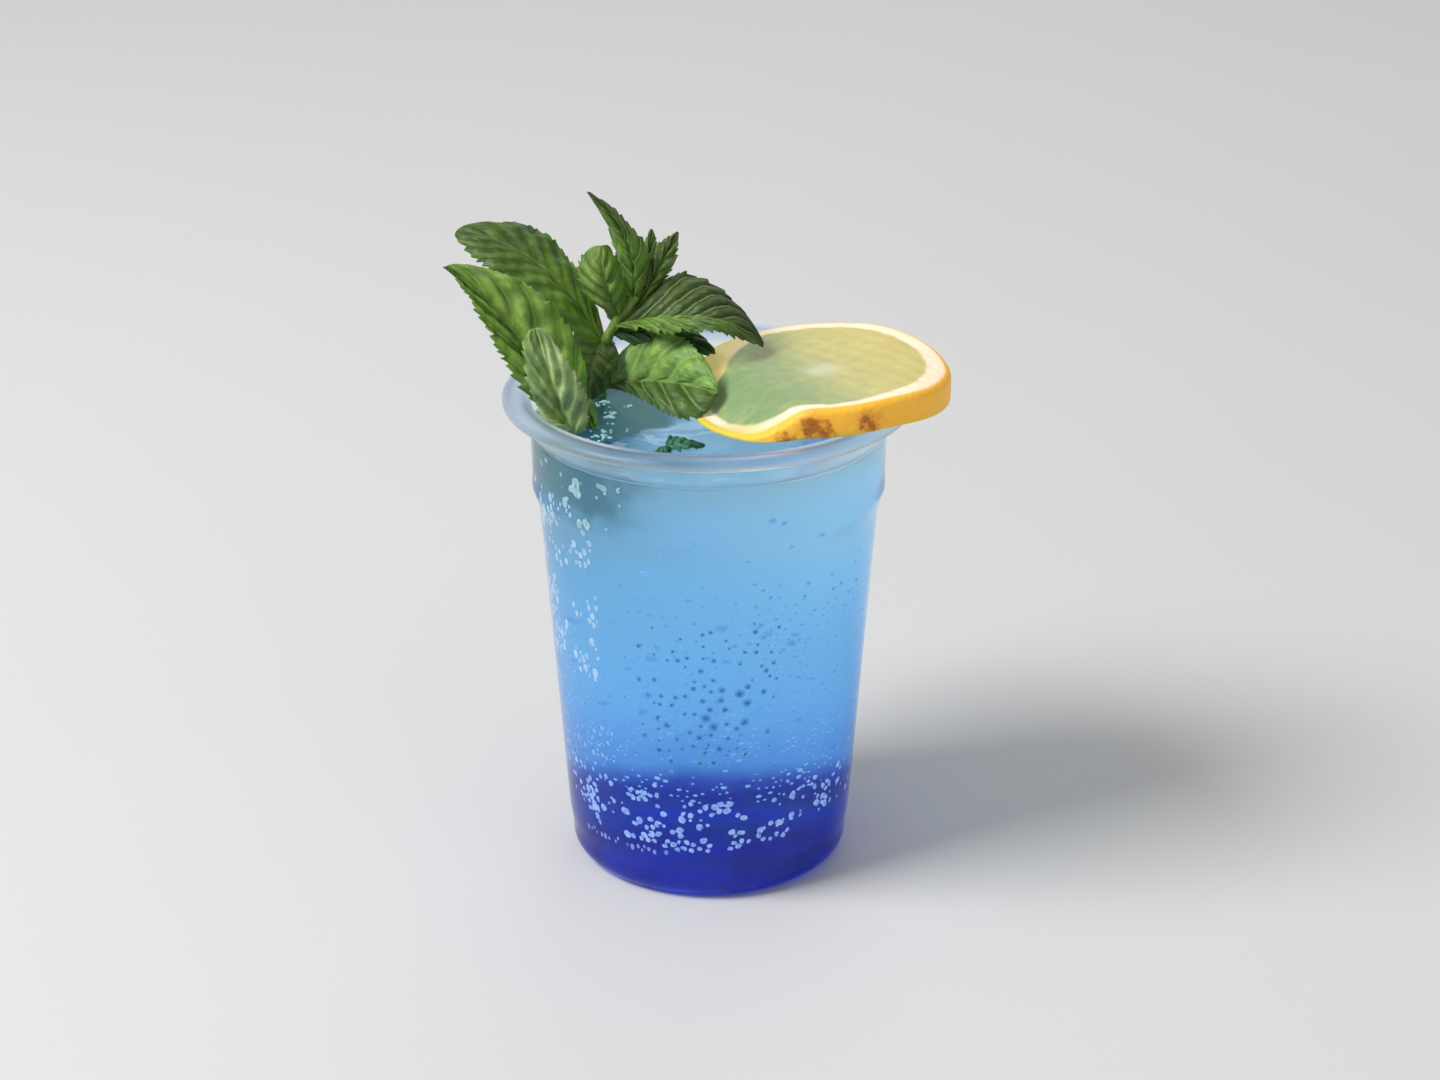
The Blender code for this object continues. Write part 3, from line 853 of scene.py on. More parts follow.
def make_piece(
    name: str,
    points: np.ndarray,
    faces: Faces,
    finish: bpy.types.Material,
    sharp_degrees: float = 180.0,
) -> bpy.types.Object:
    """Make a smooth-shaded mesh object at the origin.

    Args:
        name: The piece's name.
        points: Its points.
        faces: Its faces.
        finish: Its material.
        sharp_degrees: Edges that turn more than this stay sharp.

    Returns:
        The new object, linked to the scene.
    """
    mesh = bpy.data.meshes.new(name)
    mesh.from_pydata([tuple(point) for point in points], [], faces)
    mesh.validate()
    mesh.shade_smooth()
    if sharp_degrees < 180.0:
        mesh.set_sharp_from_angle(angle=math.radians(sharp_degrees))
    mesh.materials.append(finish)
    made = bpy.data.objects.new(name, mesh)
    bpy.context.scene.collection.objects.link(made)
    return made


def give_values(mesh: bpy.types.Mesh, name: str, values: np.ndarray) -> None:
    """Store one number or one colour for each point of a mesh.

    Args:
        mesh: The mesh.
        name: The attribute's name.
        values: One number for each point, or rows of three numbers for a colour.
    """
    values = np.asarray(values, np.float32)
    if values.ndim == 1:
        attribute = mesh.attributes.new(name, "FLOAT", "POINT")
        attribute.data.foreach_set("value", values)
    else:
        attribute = mesh.attributes.new(name, "FLOAT_COLOR", "POINT")
        full = np.concatenate([values, np.ones((len(values), 1), np.float32)], 1)
        attribute.data.foreach_set("color", full.ravel())


@dataclass
class Cup:
    """The one-piece clear plastic cup, with the sizes of its solid."""

    height: float = 0.1200
    wall: float = 0.0006
    base: float = 0.0008
    foot_radius: float = 0.0340
    fillet: float = 0.0048
    flange_radius: float = 0.0490
    flange_inside: float = 0.0438
    flange_depth: float = 0.0010
    lip_drop: float = 0.0028
    lip_width: float = 0.0009
    neck_top: float = 0.1160
    segments: int = 160

    def stations(self) -> Outline:
        """(height, radius) wherever the outside of the wall changes slope.

        Returns:
            The pairs, from the foot up.
        """
        return [
            (self.fillet, 0.0340),
            (0.0066, 0.03404),
            (0.0084, 0.03428),
            (0.0102, 0.03460),
            (0.0128, 0.03488),
            (0.0905, 0.04055),
            (0.0930, 0.04105),
            (0.0952, 0.04190),
            (0.0967, 0.04235),
            (0.0982, 0.04225),
            (0.1005, 0.04215),
            (self.neck_top, 0.0426),
        ]

    def radius_at(self, height: float) -> float:
        """Outside radius of the wall at a height over the foot's rounding."""
        heights, radii = zip(*self.stations())
        return float(np.interp(height, heights, radii))

    def foot(self, inset: float) -> Outline:
        """(radius, height) points of the foot's rounding, set in from the outside.

        Args:
            inset: How far in from the outside.

        Returns:
            The points, from the base up.
        """
        reach = self.fillet - inset
        middle = self.foot_radius - self.fillet
        turns = np.linspace(-math.pi / 2, 0.0, 9)
        return [(middle + reach * math.cos(a), self.fillet + reach * math.sin(a)) for a in turns]

    def side(self, inset: float, low: float, high: float) -> Outline:
        """(radius, height) points up the wall, set in from the outside."""
        heights = [low, *(h for h, _ in self.stations() if low < h < high), high]
        return [(self.radius_at(height) - inset, height) for height in heights]

    def outline(self) -> Outline:
        """The section: out along the base, up the side, round the rim and down the inside.

        Returns:
            (radius, height) points, from the axis to the axis.
        """
        top, edge = self.height, self.flange_radius
        neck = self.radius_at(self.neck_top)
        underside = top - self.flange_depth
        rim = [
            (neck + 0.0009, underside - 0.0009),
            (self.flange_inside + 0.0009, underside - 0.0002),
            (edge - 0.0028, underside - 0.0002),
            (edge - self.lip_width, top - self.lip_drop),
            (edge, top - self.lip_drop + 0.0004),
            (edge, top - self.lip_drop / 2),
            (edge - 0.0008, top - 0.0004),
            (edge - 0.0028, top),
            (self.flange_inside, top),
            (self.flange_inside - 0.0009, top - 0.0005),
            (neck - self.wall, self.neck_top + 0.0018),
        ]
        outside = self.foot(0.0)[:-1] + rounded(
            self.side(0.0, self.fillet, self.neck_top) + rim
            + self.side(self.wall, self.fillet, self.neck_top)[::-1],
            0.0012,
        )
        return [(0.0, 0.0), *outside, *self.foot(self.wall)[-2::-1], (0.0, self.base)]

    def build(self) -> bpy.types.Object:
        """Make the cup and dress it.

        Returns:
            The cup.
        """
        points, faces = turned(self.outline(), self.segments)
        cup = make_piece("clear_cup", points, faces, ClearPlastic().material())
        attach(cup, ROOT)
        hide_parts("cup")
        return cup


@dataclass
class Drink:
    """Both layers of the drink as one body, which reaches just into the cup's wall."""

    cup: Cup
    level: float = LEVEL
    into_wall: float = 0.00025
    meniscus: float = 0.00015
    segments: int = 160

    def outline(self) -> Outline:
        """The section, with the drink drawn a little up the wall.

        Returns:
            (radius, height) points, from the axis to the axis.
        """
        inset = self.cup.wall - self.into_wall
        bottom = self.cup.base - self.into_wall
        edge = self.cup.radius_at(self.level) - inset
        side = rounded(self.cup.side(inset, self.cup.fillet, self.level + self.meniscus), 0.0012)
        foot = [(r, max(h, bottom)) for r, h in self.cup.foot(inset)[1:-1]]
        curl = [
            (edge - reach, self.level + self.meniscus * math.exp(-reach / 0.0016))
            for reach in (0.0002, 0.0005, 0.0009, 0.0014, 0.0021, 0.0032, 0.0050)
        ]
        flat = [(edge * share, self.level) for share in (0.7, 0.4, 0.15)]
        start = [(0.0, bottom), (self.cup.foot_radius - self.cup.fillet, bottom)]
        return start + foot + side + curl + flat + [(0.0, self.level)]

    def build(self) -> bpy.types.Object:
        """Make the drink and dress it.

        Returns:
            The drink.
        """
        points, faces = turned(self.outline(), self.segments)
        drink = make_piece("layered_drink", points, faces, BlueLayers().material(), 35.0)
        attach(drink, ROOT)
        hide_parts("drink", "syrup")
        return drink


@dataclass
class Slice:
    """The round of citrus on the rim, which droops outside it and sags over the drink."""

    radius: float = 0.0308
    thickness: float = 0.0070
    centre: Point = (0.0262, -0.0039, 0.1271)
    rise: float = 0.065
    top_rounding: float = 0.0016
    under_rounding: float = 0.0008
    sag_degrees: float = -153.6
    sag_start: float = 0.0153
    sag_length: float = 0.0121
    top_sag: float = 0.0077
    under_sag: float = 0.0016
    droop_start: float = 0.0120
    droop_length: float = 0.0170
    droop: float = 0.0027
    core: tuple[float, float] = (0.0010, -0.0045)
    segments: int = 10
    steps_round: int = 240
    film_width: float = 0.0011
    film_rise: float = 0.00005
    core_rise: float = 0.00012
    bump_height: float = 0.00008

    def membranes(self) -> np.ndarray:
        """Angles of the films between the segments, unevenly spread."""
        even = np.arange(self.segments) * 2 * math.pi / self.segments
        return even + 0.10 * np.sin(even * 3.0 + 0.7) + 0.2

    def face(self, rounding: float, rings: int) -> Outline:
        """(radius, depth) points of one face, from the middle out round its edge.

        Args:
            rounding: Radius of its rounded edge.
            rings: Spans from the middle to the rounding.

        Returns:
            The points.
        """
        flat = self.radius - rounding
        out = [(flat * ring / rings, 0.0) for ring in range(rings + 1)]
        for step in range(1, 7):
            turn = step / 6 * math.pi / 2
            out.append((flat + rounding * math.sin(turn), rounding * (math.cos(turn) - 1.0)))
        return out

    def bend(self, flat: np.ndarray) -> np.ndarray:
        """Put the flat disk in its place on the rim, as the solid's bend does.

        Args:
            flat: Points of the flat disk.

        Returns:
            The bent points.
        """
        way = math.radians(self.sag_degrees)
        along = flat[:, 0] * math.cos(way) + flat[:, 1] * math.sin(way)
        share = smooth_step(self.sag_start, self.sag_start + self.sag_length, along)
        depth = self.top_sag + (self.under_sag - self.top_sag) * -flat[:, 2] / self.thickness
        droop = self.droop * (np.maximum(flat[:, 0] - self.droop_start, 0.0) / self.droop_length) ** 2
        bent = flat + np.array(self.centre)
        bent[:, 2] += self.rise * flat[:, 0] - depth * share - droop
        return bent

    def build(self) -> bpy.types.Object:
        """Make the slice and dress it.

        Returns:
            The slice.
        """
        top = self.face(self.top_rounding, 44)
        below = [(r, -self.thickness - d) for r, d in self.face(self.under_rounding, 16)]
        straight = self.thickness - self.top_rounding - self.under_rounding
        wall = [
            (self.radius, -self.top_rounding - straight * step / WALL_SPANS)
            for step in range(1, WALL_SPANS)
        ]
        outline = below + wall[::-1] + top[::-1]
        points, faces = turned(outline, self.steps_round)
        out = np.hypot(points[:, 0], points[:, 1]) / self.radius
        pull = 1.0 - np.clip(out, 0.0, 1.0)
        seen = points[:, :2] - np.array(self.core) * pull[:, None]
        core = np.hypot(seen[:, 0], seen[:, 1]) / self.radius
        angle = np.arctan2(seen[:, 1], seen[:, 0])
        gaps = np.abs((angle[:, None] - self.membranes()[None] + math.pi) % (2 * math.pi) - math.pi)
        wedge = gaps.min(1) * core * self.radius
        is_top = smooth_step(-self.thickness * 0.4, -self.thickness * 0.1, points[:, 2])
        is_below = smooth_step(-self.thickness * 0.6, -self.thickness * 0.9, points[:, 2])
        inside = 1.0 - smooth_step(0.86, 0.90, out)
        pulp = 1.0 - np.exp(-((wedge / self.film_width) ** 2))
        dish = inside * (self.film_rise * pulp + self.core_rise * smooth_step(0.02, 0.14, out))
        ripple = np.sin(points[:, 0] * 900.0), np.sin(points[:, 1] * 820.0 + 1.3)
        bumps = self.bump_height * ripple[0] * ripple[1] * inside
        shape = points.copy()
        shape[:, 2] += (bumps - dish) * (is_top - is_below)
        warp = 1.0 + 0.006 * np.sin(3 * angle + 0.8) + 0.004 * np.sin(7 * angle)
        grow = 1.0 + (np.minimum(warp, 1.0) - 1.0) * smooth_step(0.5, 1.0, out)
        shape[:, :2] *= grow[:, None]
        piece = make_piece("citrus_round", self.bend(shape), faces, CitrusFlesh().material())
        values = {
            "slice_out": out,
            "slice_core": core,
            "slice_turn": angle / (2 * math.pi) + 0.5,
            "slice_wedge": wedge,
            "slice_side": -points[:, 2] / self.thickness,
        }
        for name, row in values.items():
            give_values(piece.data, name, row)
        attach(piece, ROOT)
        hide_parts("citrus_slice")
        return piece


class Tone(Enum):
    """Greens of the mint, from the deepest to the palest. The darkest, SHADE, DUSK and MOSS, are partly
    painted shade, for leaves and halves of leaves that lie in shade or turn from the light.
    """

    SHADE = from_srgb(60, 80, 30)
    DEEP = from_srgb(80, 106, 38)
    MID = from_srgb(94, 128, 48)
    FRESH = from_srgb(110, 150, 58)
    BRIGHT = from_srgb(126, 164, 74)
    OLIVE = from_srgb(90, 124, 34)
    DULL = from_srgb(98, 126, 54)
    COOL = from_srgb(118, 156, 84)
    MOSS = from_srgb(64, 92, 36)
    DUSK = from_srgb(56, 90, 60)
    ASH = from_srgb(112, 138, 88)
    GREY = from_srgb(134, 158, 112)
    PALE = from_srgb(158, 180, 136)
    TEAL = from_srgb(32, 104, 98)


@dataclass(frozen=True)
class Blade:
    """One leaf: three points of its midrib, how far each half spreads, and its two greens. A darker green on
    the half turned from the light is painted shade.

    Left and right are as seen on the upper face with the tip up.
    """

    base: Point
    middle: Point
    tip: Point
    left: Point
    right: Point
    left_tone: Tone = Tone.MID
    right_tone: Tone = Tone.MID
    widest: float = 0.42
    point: float = 0.8
    right_widest: float | None = None
    right_point: float | None = None
    arch: float = 0.0
    tip_shade: float = 0.0
    veins: float = 7.0
    quilt: float = 0.0006
    slant: float = 0.28
    # How pale the veins are, and how deep the painted shade in the hollows
    veins_and_hollow_shade: float = 0.22

    def normal(self) -> Vector:
        """Direction that the upper face looks in."""
        chord = Vector(self.right) - Vector(self.left)
        return chord.cross(Vector(self.tip) - Vector(self.base)).normalized()

    def length(self) -> float:
        """Length of the midrib, near enough."""
        base, middle, tip = Vector(self.base), Vector(self.middle), Vector(self.tip)
        return (middle - base).length + (tip - middle).length


@dataclass
class LeafShaper:
    """Turns a blade into the points and faces of a thin leaf."""

    columns: int = 36
    thickness: float = 0.00040
    tooth_length: float = 0.0023
    rows_per_tooth: int = 6
    tooth_depth: float = 0.00075
    end_width: float = 0.08
    edge_wave: float = 0.0009
    crown: float = 0.0011
    crumple: float = 0.00045
    fold_waves: tuple[tuple[float, float], ...] = ((8.5, 0.4), (6.0, 1.7), (4.4, 2.6), (3.3, 0.9), (2.5, 2.1))
    rib_width: float = 0.08
    rib_groove: float = 0.0008
    rib_ridge: float = 0.00045
    tooth_rise: float = 0.72
    tooth_fall: float = 0.28
    tooth_lean: float = 0.30

    def spread(self, along: np.ndarray, widest: float, point: float) -> np.ndarray:
        """Share of its full width that a half has at each place along the leaf."""
        swell = np.sin(math.pi * np.clip(along, 0, 1) ** (math.log(0.5) / math.log(widest)))
        return self.end_width + (1 - self.end_width) * np.maximum(swell, 0.0) ** point

    def surface(self, blade: Blade, along: np.ndarray, across: np.ndarray) -> np.ndarray:
        """Middle surface of a leaf, as its solid has it.

        Args:
            blade: The leaf.
            along: From 0 at the base to 1 at the tip.
            across: From -1 at the left edge to 1 at the right.

        Returns:
            A point for each pair of values.
        """
        base, middle, tip = (np.array(p) for p in (blade.base, blade.middle, blade.tip))
        control = 2 * middle - (base + tip) / 2
        t, back = along[:, None], 1.0 - along[:, None]
        rib = back * back * base + 2 * t * back * control + t * t * tip
        rib[:, 2] += blade.arch * np.sin(math.pi * np.clip(along, 0, 1) ** 2.2)
        is_left = across < 0
        width = np.where(
            is_left,
            self.spread(along, blade.widest, blade.point),
            self.spread(along, blade.right_widest or blade.widest, blade.right_point or blade.point),
        )
        wing = np.where(is_left[:, None], np.array(blade.left), np.array(blade.right))
        out = np.abs(across)
        ripple = np.sin(9.0 * along + 2.0 * across) * out * out
        lift = (self.edge_wave * ripple + self.crown * 4.0 * out * (1.0 - out)) * width
        return rib + wing * (out * width)[:, None] + np.array(blade.normal()) * lift[:, None]

    def folds(self, blade: Blade, along: np.ndarray, across: np.ndarray) -> np.ndarray:
        """Uneven swelling of a leaf from -1 to 1, different on each one.

        Args:
            blade: The leaf.
            along: From 0 at the base to 1 at the tip.
            across: From -1 at the left edge to 1 at the right.

        Returns:
            The swelling at each point.
        """
        seed = 1000.0 * (blade.base[0] + blade.tip[2])
        u = along * blade.length() * 1000.0
        reach = 500.0 * (Vector(blade.left).length + Vector(blade.right).length)
        w = across * reach
        total = np.zeros_like(u)
        for index, (length, turn) in enumerate(self.fold_waves):
            way = u * math.cos(turn) + w * math.sin(turn)
            total += length * np.sin(way * 2 * math.pi / length + seed * (1.3 + index))
        return total / 14.0

    def phase(self, blade: Blade, along: np.ndarray, across: np.ndarray) -> np.ndarray:
        """Which side vein a point is nearest to: whole numbers lie on a vein.

        Args:
            blade: The leaf.
            along: From 0 at the base to 1 at the tip.
            across: From -1 at the left edge to 1 at the right.

        Returns:
            The number at each point.
        """
        out = np.abs(across)
        slant = blade.slant * out ** 0.85 + 0.02 * np.sin(7.0 * along + 3.0 * across)
        return blade.veins * (along ** 0.92 - slant) + np.where(across < 0, 0.0, 0.42)

    def build(self, blade: Blade) -> tuple[np.ndarray, Faces, dict[str, np.ndarray]]:
        """Shape one leaf.

        Args:
            blade: The leaf.

        Returns:
            Its points, its faces, and its values for each point by attribute name.
        """
        teeth = max(5, round(blade.length() / self.tooth_length))
        rows = teeth * self.rows_per_tooth
        row, column = np.meshgrid(np.arange(rows + 1), np.arange(self.columns + 1), indexing="ij")
        along = row.ravel() / rows
        across = 2.0 * column.ravel() / self.columns - 1.0
        across = np.sign(across) * np.abs(across) ** 0.9
        out = np.abs(across)
        step = (along * teeth + 0.3 * np.sin(along * 17.0)) % 1.0
        saw = np.where(step < self.tooth_rise, step / self.tooth_rise, (1.0 - step) / self.tooth_fall)
        ends = smooth_step(0.0, 0.10, along), smooth_step(0.0, 0.04, 1.0 - along)
        edge = smooth_step(0.74, 1.0, out) * ends[0] * ends[1]
        uneven = 0.7 + 0.3 * np.sin(along * teeth * 2.3 + across * 2.0)
        reach = np.where(across < 0, Vector(blade.left).length, Vector(blade.right).length)
        stretched = across * (1.0 + self.tooth_depth / reach * 2.0 * (saw - 0.6) * edge * uneven)
        leaned = np.clip(along + self.tooth_lean / teeth * saw * edge, 0.0, 1.0)
        middle = self.surface(blade, leaned, stretched)
        phase = self.phase(blade, along, across)
        off = np.abs((phase + 0.5) % 1.0 - 0.5)
        puff = smooth_step(0.0, 0.42, off) * smooth_step(0.0, 0.18, out) * (1.0 - 0.6 * out ** 3)
        swell = np.sin(math.pi * np.clip(along, 0, 1)) ** 0.5
        rib = np.exp(-((out / self.rib_width) ** 2))
        relief = blade.quilt * (puff - 0.5) * swell - self.rib_groove * blade.veins_and_hollow_shade * rib * swell
        folds = self.folds(blade, along, across)
        relief += self.crumple * folds * (0.35 + 0.65 * out) * swell
        ridge = self.rib_ridge * rib * (1.0 - along * 0.8)
        half = self.thickness * (0.5 - 0.28 * out ** 4)
        normal = np.array(blade.normal())
        upper = middle + normal * (relief + half)[:, None]
        lower = middle + normal * (relief - half - ridge)[:, None]
        points = np.concatenate([upper, lower])
        faces = self.faces(rows)
        count = len(along)
        # Each half's green; a darker green on a half turned from the light is painted shade, and tip_shade
        # darkens towards the tip
        left, right = np.array(blade.left_tone.value), np.array(blade.right_tone.value)
        side = smooth_step(-0.12, 0.12, across)[:, None]
        tone = left * (1 - side) + right * side
        tone = tone * (1.0 - blade.tip_shade * smooth_step(0.25, 0.75, along))[:, None]
        values = {
            "leaf_across": np.tile(across, 2),
            "leaf_phase": np.tile(phase, 2),
            "leaf_tone": np.tile(tone, (2, 1)),
            "leaf_under": np.repeat([0.0, 1.0], count),
            # The folds, kept so that the finish paints shade in their hollows and highlights on their crests
            "leaf_fold": np.tile(np.clip(0.5 + 0.75 * folds, 0.0, 1.0), 2),
            "leaf_veins_and_shade": np.full(2 * count, blade.veins_and_hollow_shade),
        }
        return points, faces, values

    def faces(self, rows: int) -> Faces:
        """Faces of both sides and of the edge of a leaf with that many rows.

        Args:
            rows: Rows of faces from base to tip.

        Returns:
            The faces.
        """
        width = self.columns + 1
        lower = (rows + 1) * width
        faces: Faces = []
        for row in range(rows):
            for column in range(self.columns):
                a = row * width + column
                b, c, d = a + 1, a + width + 1, a + width
                faces.append((a, b, c, d))
                faces.append((lower + d, lower + c, lower + b, lower + a))
        ring = list(range(width))
        ring += [row * width + self.columns for row in range(1, rows + 1)]
        ring += [rows * width + column for column in range(self.columns - 1, -1, -1)]
        ring += [row * width for row in range(rows - 1, 0, -1)]
        for start, end in zip(ring, ring[1:] + ring[:1]):
            faces.append((end, start, lower + start, lower + end))
        return faces


def joined_leaves(name: str, shaper: LeafShaper, blades: Iterable[Blade]) -> bpy.types.Object:
    """Shape leaves and join them as one piece.

    Args:
        name: The piece's name.
        shaper: What shapes each leaf.
        blades: The leaves.

    Returns:
        The piece.
    """
    points, faces, values, count = [], [], {}, 0
    for blade in blades:
        leaf_points, leaf_faces, leaf_values = shaper.build(blade)
        points.append(leaf_points)
        faces += [tuple(index + count for index in face) for face in leaf_faces]
        for label, row in leaf_values.items():
            values.setdefault(label, []).append(row)
        count += len(leaf_points)
    leaves = make_piece(name, np.concatenate(points), faces, MintLeaf().material(), 60.0)
    for label, rows in values.items():
        give_values(leaves.data, label, np.concatenate(rows))
    return leaves


@dataclass
class Sprig:
    """A mint sprig: a stem made from its path by Geometry Nodes, and its leaves."""

    name: str
    stem_radius: float
    stem: tuple[Point, ...]
    blades: dict[str, Blade]

    def stem_tree(self) -> bpy.types.NodeTree:
        """Geometry Nodes that sweep a ridged round along a path, thinner towards its end.

        Returns:
            The tree.
        """
        inputs = {
            "Path": GEOMETRY, "Radius": self.stem_radius, "Sides": 16, "Spacing": 0.0008, "Skin": MATERIAL,
        }
        graph = Graph.group_tree(self.name + "_stem", "GeometryNodeTree", inputs, {"Stem": GEOMETRY})
        given = graph.add("NodeGroupInput")
        curve = graph.add("GeometryNodeMeshToCurve", {0: given})
        curve = graph.add("GeometryNodeCurveSplineType", {0: curve}, spline_type="BEZIER")
        curve = graph.add("GeometryNodeCurveSetHandles", {0: curve})
        puts = {"Curve": curve, "Length": given.output("Spacing")}
        curve = graph.add("GeometryNodeResampleCurve", puts, mode="LENGTH")
        share = graph.add("GeometryNodeSplineParameter", out="Factor")
        taper = 1.0 + graph.math("SINE", share * 31.0) * 0.05 - share * 0.22
        curve = graph.add("GeometryNodeSetCurveRadius", {"Curve": curve, "Radius": taper})
        puts = {"Resolution": given.output("Sides"), "Radius": given.output("Radius")}
        ring = graph.add("GeometryNodeCurvePrimitiveCircle", puts)
        puts = {"Curve": curve, "Profile Curve": ring, "Fill Caps": True}
        sweep = graph.add("GeometryNodeCurveToMesh", puts)
        if "Scale" in sweep.socket.node.inputs:
            graph.fill(sweep.socket.node.inputs, {"Scale": taper})
        stem = graph.add("GeometryNodeSetShadeSmooth", {0: sweep})
        stem = graph.add("GeometryNodeRealizeInstances", {0: stem})
        stem = graph.add("GeometryNodeSetMaterial", {0: stem, "Material": given.output("Skin")})
        return graph.finish({"Stem": stem})

    def build_stem(self) -> bpy.types.Object:
        """Sweep the stem along its path.

        Returns:
            The stem.
        """
        path = bpy.data.meshes.new(self.name + "_path")
        edges = [(index, index + 1) for index in range(len(self.stem) - 1)]
        path.from_pydata(list(self.stem), edges, [])
        return grown(self.name + "_stem", path, self.stem_tree(), {"Skin": MintStem().material()})

    def build(self) -> list[bpy.types.Object]:
        """Make the stem and the leaves, and dress them.

        Returns:
            The stem and the joined leaves.
        """
        leaves = joined_leaves(self.name + "_leaves", LeafShaper(), self.blades.values())
        stem = self.build_stem()
        for piece in (stem, leaves):
            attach(piece, ROOT)
            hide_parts(self.name)
        return [stem, leaves]


def grown(
    name: str, start: bpy.types.Mesh, tree: bpy.types.NodeTree, inputs: dict[str, object]
) -> bpy.types.Object:
    """Run a geometry node tree on a mesh and keep the result as a plain mesh.

    Args:
        name: Name of the new piece.
        start: Mesh that the tree starts from.
        tree: The tree, whose inputs are named.
        inputs: Values of inputs by name.

    Returns:
        The new object.
    """
    holder = bpy.data.objects.new(name, start)
    bpy.context.scene.collection.objects.link(holder)
    modifier = holder.modifiers.new("grow", "NODES")
    modifier.node_group = tree
    for item in tree.interface.items_tree:
        if item.item_type == "SOCKET" and item.in_out == "INPUT" and item.name in inputs:
            modifier[item.identifier] = inputs[item.name]
    bpy.context.view_layer.update()
    evaluated = holder.evaluated_get(bpy.context.evaluated_depsgraph_get())
    result = bpy.data.meshes.new_from_object(evaluated)
    result.name = name
    holder.modifiers.remove(modifier)
    holder.data = result
    return holder


@dataclass
class BubbleField:
    """Bubbles that cling to the inside of the wall over one patch of it.

    Sizes are radii in metres, and the density is for each square metre.
    """

    name: str
    cup: Cup
    degrees: tuple[float, float]
    heights: tuple[float, float]
    density: float
    sizes: tuple[float, float]
    finish: Finish
    seed: int = 1
    stretch: float = 1.0
    flat: float = 0.0003
    gather: float = 0.5
    drift_scale: float = 130.0
    apart: float = 0.0006
    detail: int = 2
    spin: float = 0.0
    uneven: float = 0.0

    def patch(self) -> bpy.types.Mesh:
        """A grid inside the wall, next to the drink's side, over this field.

        Returns:
            The grid.
        """
        across, up = 60, 40
        turns = np.radians(np.linspace(*self.degrees, across + 1))
        points = []
        for height in np.linspace(*self.heights, up + 1):
            radius = self.cup.radius_at(height) - 0.7 * self.cup.wall
            points += [(radius * math.cos(turn), radius * math.sin(turn), height) for turn in turns]
        return grid_mesh(self.name + "_patch", points, across, up)

    def tree(self) -> bpy.types.NodeTree:
        """Geometry Nodes that scatter flattened beads of uneven size, in drifts.

        Returns:
            The tree.
        """
        inputs = {
            "Patch": GEOMETRY, "Density": self.density, "Least": self.sizes[0], "Most": self.sizes[1],
            "Stretch": self.stretch, "Flat": self.flat, "Gather": self.gather,
            "Drift Scale": self.drift_scale, "Apart": self.apart, "Spin": self.spin,
            "Uneven": self.uneven, "Seed": self.seed, "Detail": self.detail, "Skin": MATERIAL,
        }
        graph = Graph.group_tree(self.name + "_scatter", "GeometryNodeTree", inputs, {"Bubbles": GEOMETRY})
        patch = graph.add("NodeGroupInput")
        seed, gather, least = (patch.output(label) for label in ("Seed", "Gather", "Least"))
        shift = seed * 0.37
        puts = {0: graph.add("GeometryNodeInputPosition"), 1: graph.join(shift, shift, shift)}
        puts = {"Scale": patch.output("Drift Scale"), "Detail": 1.0, "Vector": graph.vector("ADD", puts)}
        drift = graph.between(graph.add("ShaderNodeTexNoise", puts), 0.44, 0.62)
        points = graph.add("GeometryNodeDistributePointsOnFaces", {
            "Mesh": patch, "Distance Min": patch.output("Apart"), "Density Max": patch.output("Density"),
            "Density Factor": (1.0 - gather + drift * gather) ** 2.0, "Seed": seed,
        }, "Points", distribute_method="POISSON")
        draw = graph.add("FunctionNodeRandomValue", {"Seed": seed}, 1, data_type="FLOAT") ** 2.0
        size = least + draw * (patch.output("Most") - least)
        puts = {"Radius": 1.0, "Subdivisions": patch.output("Detail")}
        bead = graph.add("GeometryNodeMeshIcoSphere", puts, "Mesh")
        x, y, _ = graph.parts(graph.add("GeometryNodeInputPosition"))
        puts = {"Geometry": bead, "Name": "bead_out", "Value": graph.math("SQRT", x * x + y * y)}
        bead = graph.add("GeometryNodeStoreNamedAttribute", puts, data_type="FLOAT", domain="POINT")
        puts = {0: (-1.0, -1.0, -1.0), "Seed": seed}
        aim = graph.add("FunctionNodeRandomValue", puts, data_type="FLOAT_VECTOR")
        turn = graph.vector("SCALE", {0: aim, "Scale": patch.output("Spin") * 3.0})
        puts = {0: points.output("Normal"), 1: graph.vector("ADD", {0: turn, 1: (0.0, 0.03, 1.0)})}
        lie = graph.add("FunctionNodeAxesToRotation", puts, primary_axis="Z", secondary_axis="Y")
        beads = graph.add("GeometryNodeInstanceOnPoints", {
            "Points": points, "Instance": bead, "Rotation": lie,
            "Scale": graph.join(size, size * patch.output("Stretch"), patch.output("Flat")),
        })
        beads = graph.add("GeometryNodeRealizeInstances", {0: beads})
        lump = graph.add("ShaderNodeTexNoise", {"Scale": 1100.0}, noise_dimensions="3D") - 0.60
        puts = {0: graph.add("GeometryNodeInputNormal"), "Scale": lump * patch.output("Uneven")}
        puts = {"Geometry": beads, "Offset": graph.vector("SCALE", puts)}
        beads = graph.add("GeometryNodeSetPosition", puts)
        beads = graph.add("GeometryNodeSetShadeSmooth", {0: beads})
        beads = graph.add("GeometryNodeSetMaterial", {0: beads, "Material": patch.output("Skin")})
        return graph.finish({"Bubbles": beads})

    def build(self) -> bpy.types.Object:
        """Scatter the bubbles.

        Returns:
            All the bubbles of this field as one piece.
        """
        piece = grown(self.name, self.patch(), self.tree(), {"Skin": self.finish.material()})
        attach(piece, ROOT)
        return piece


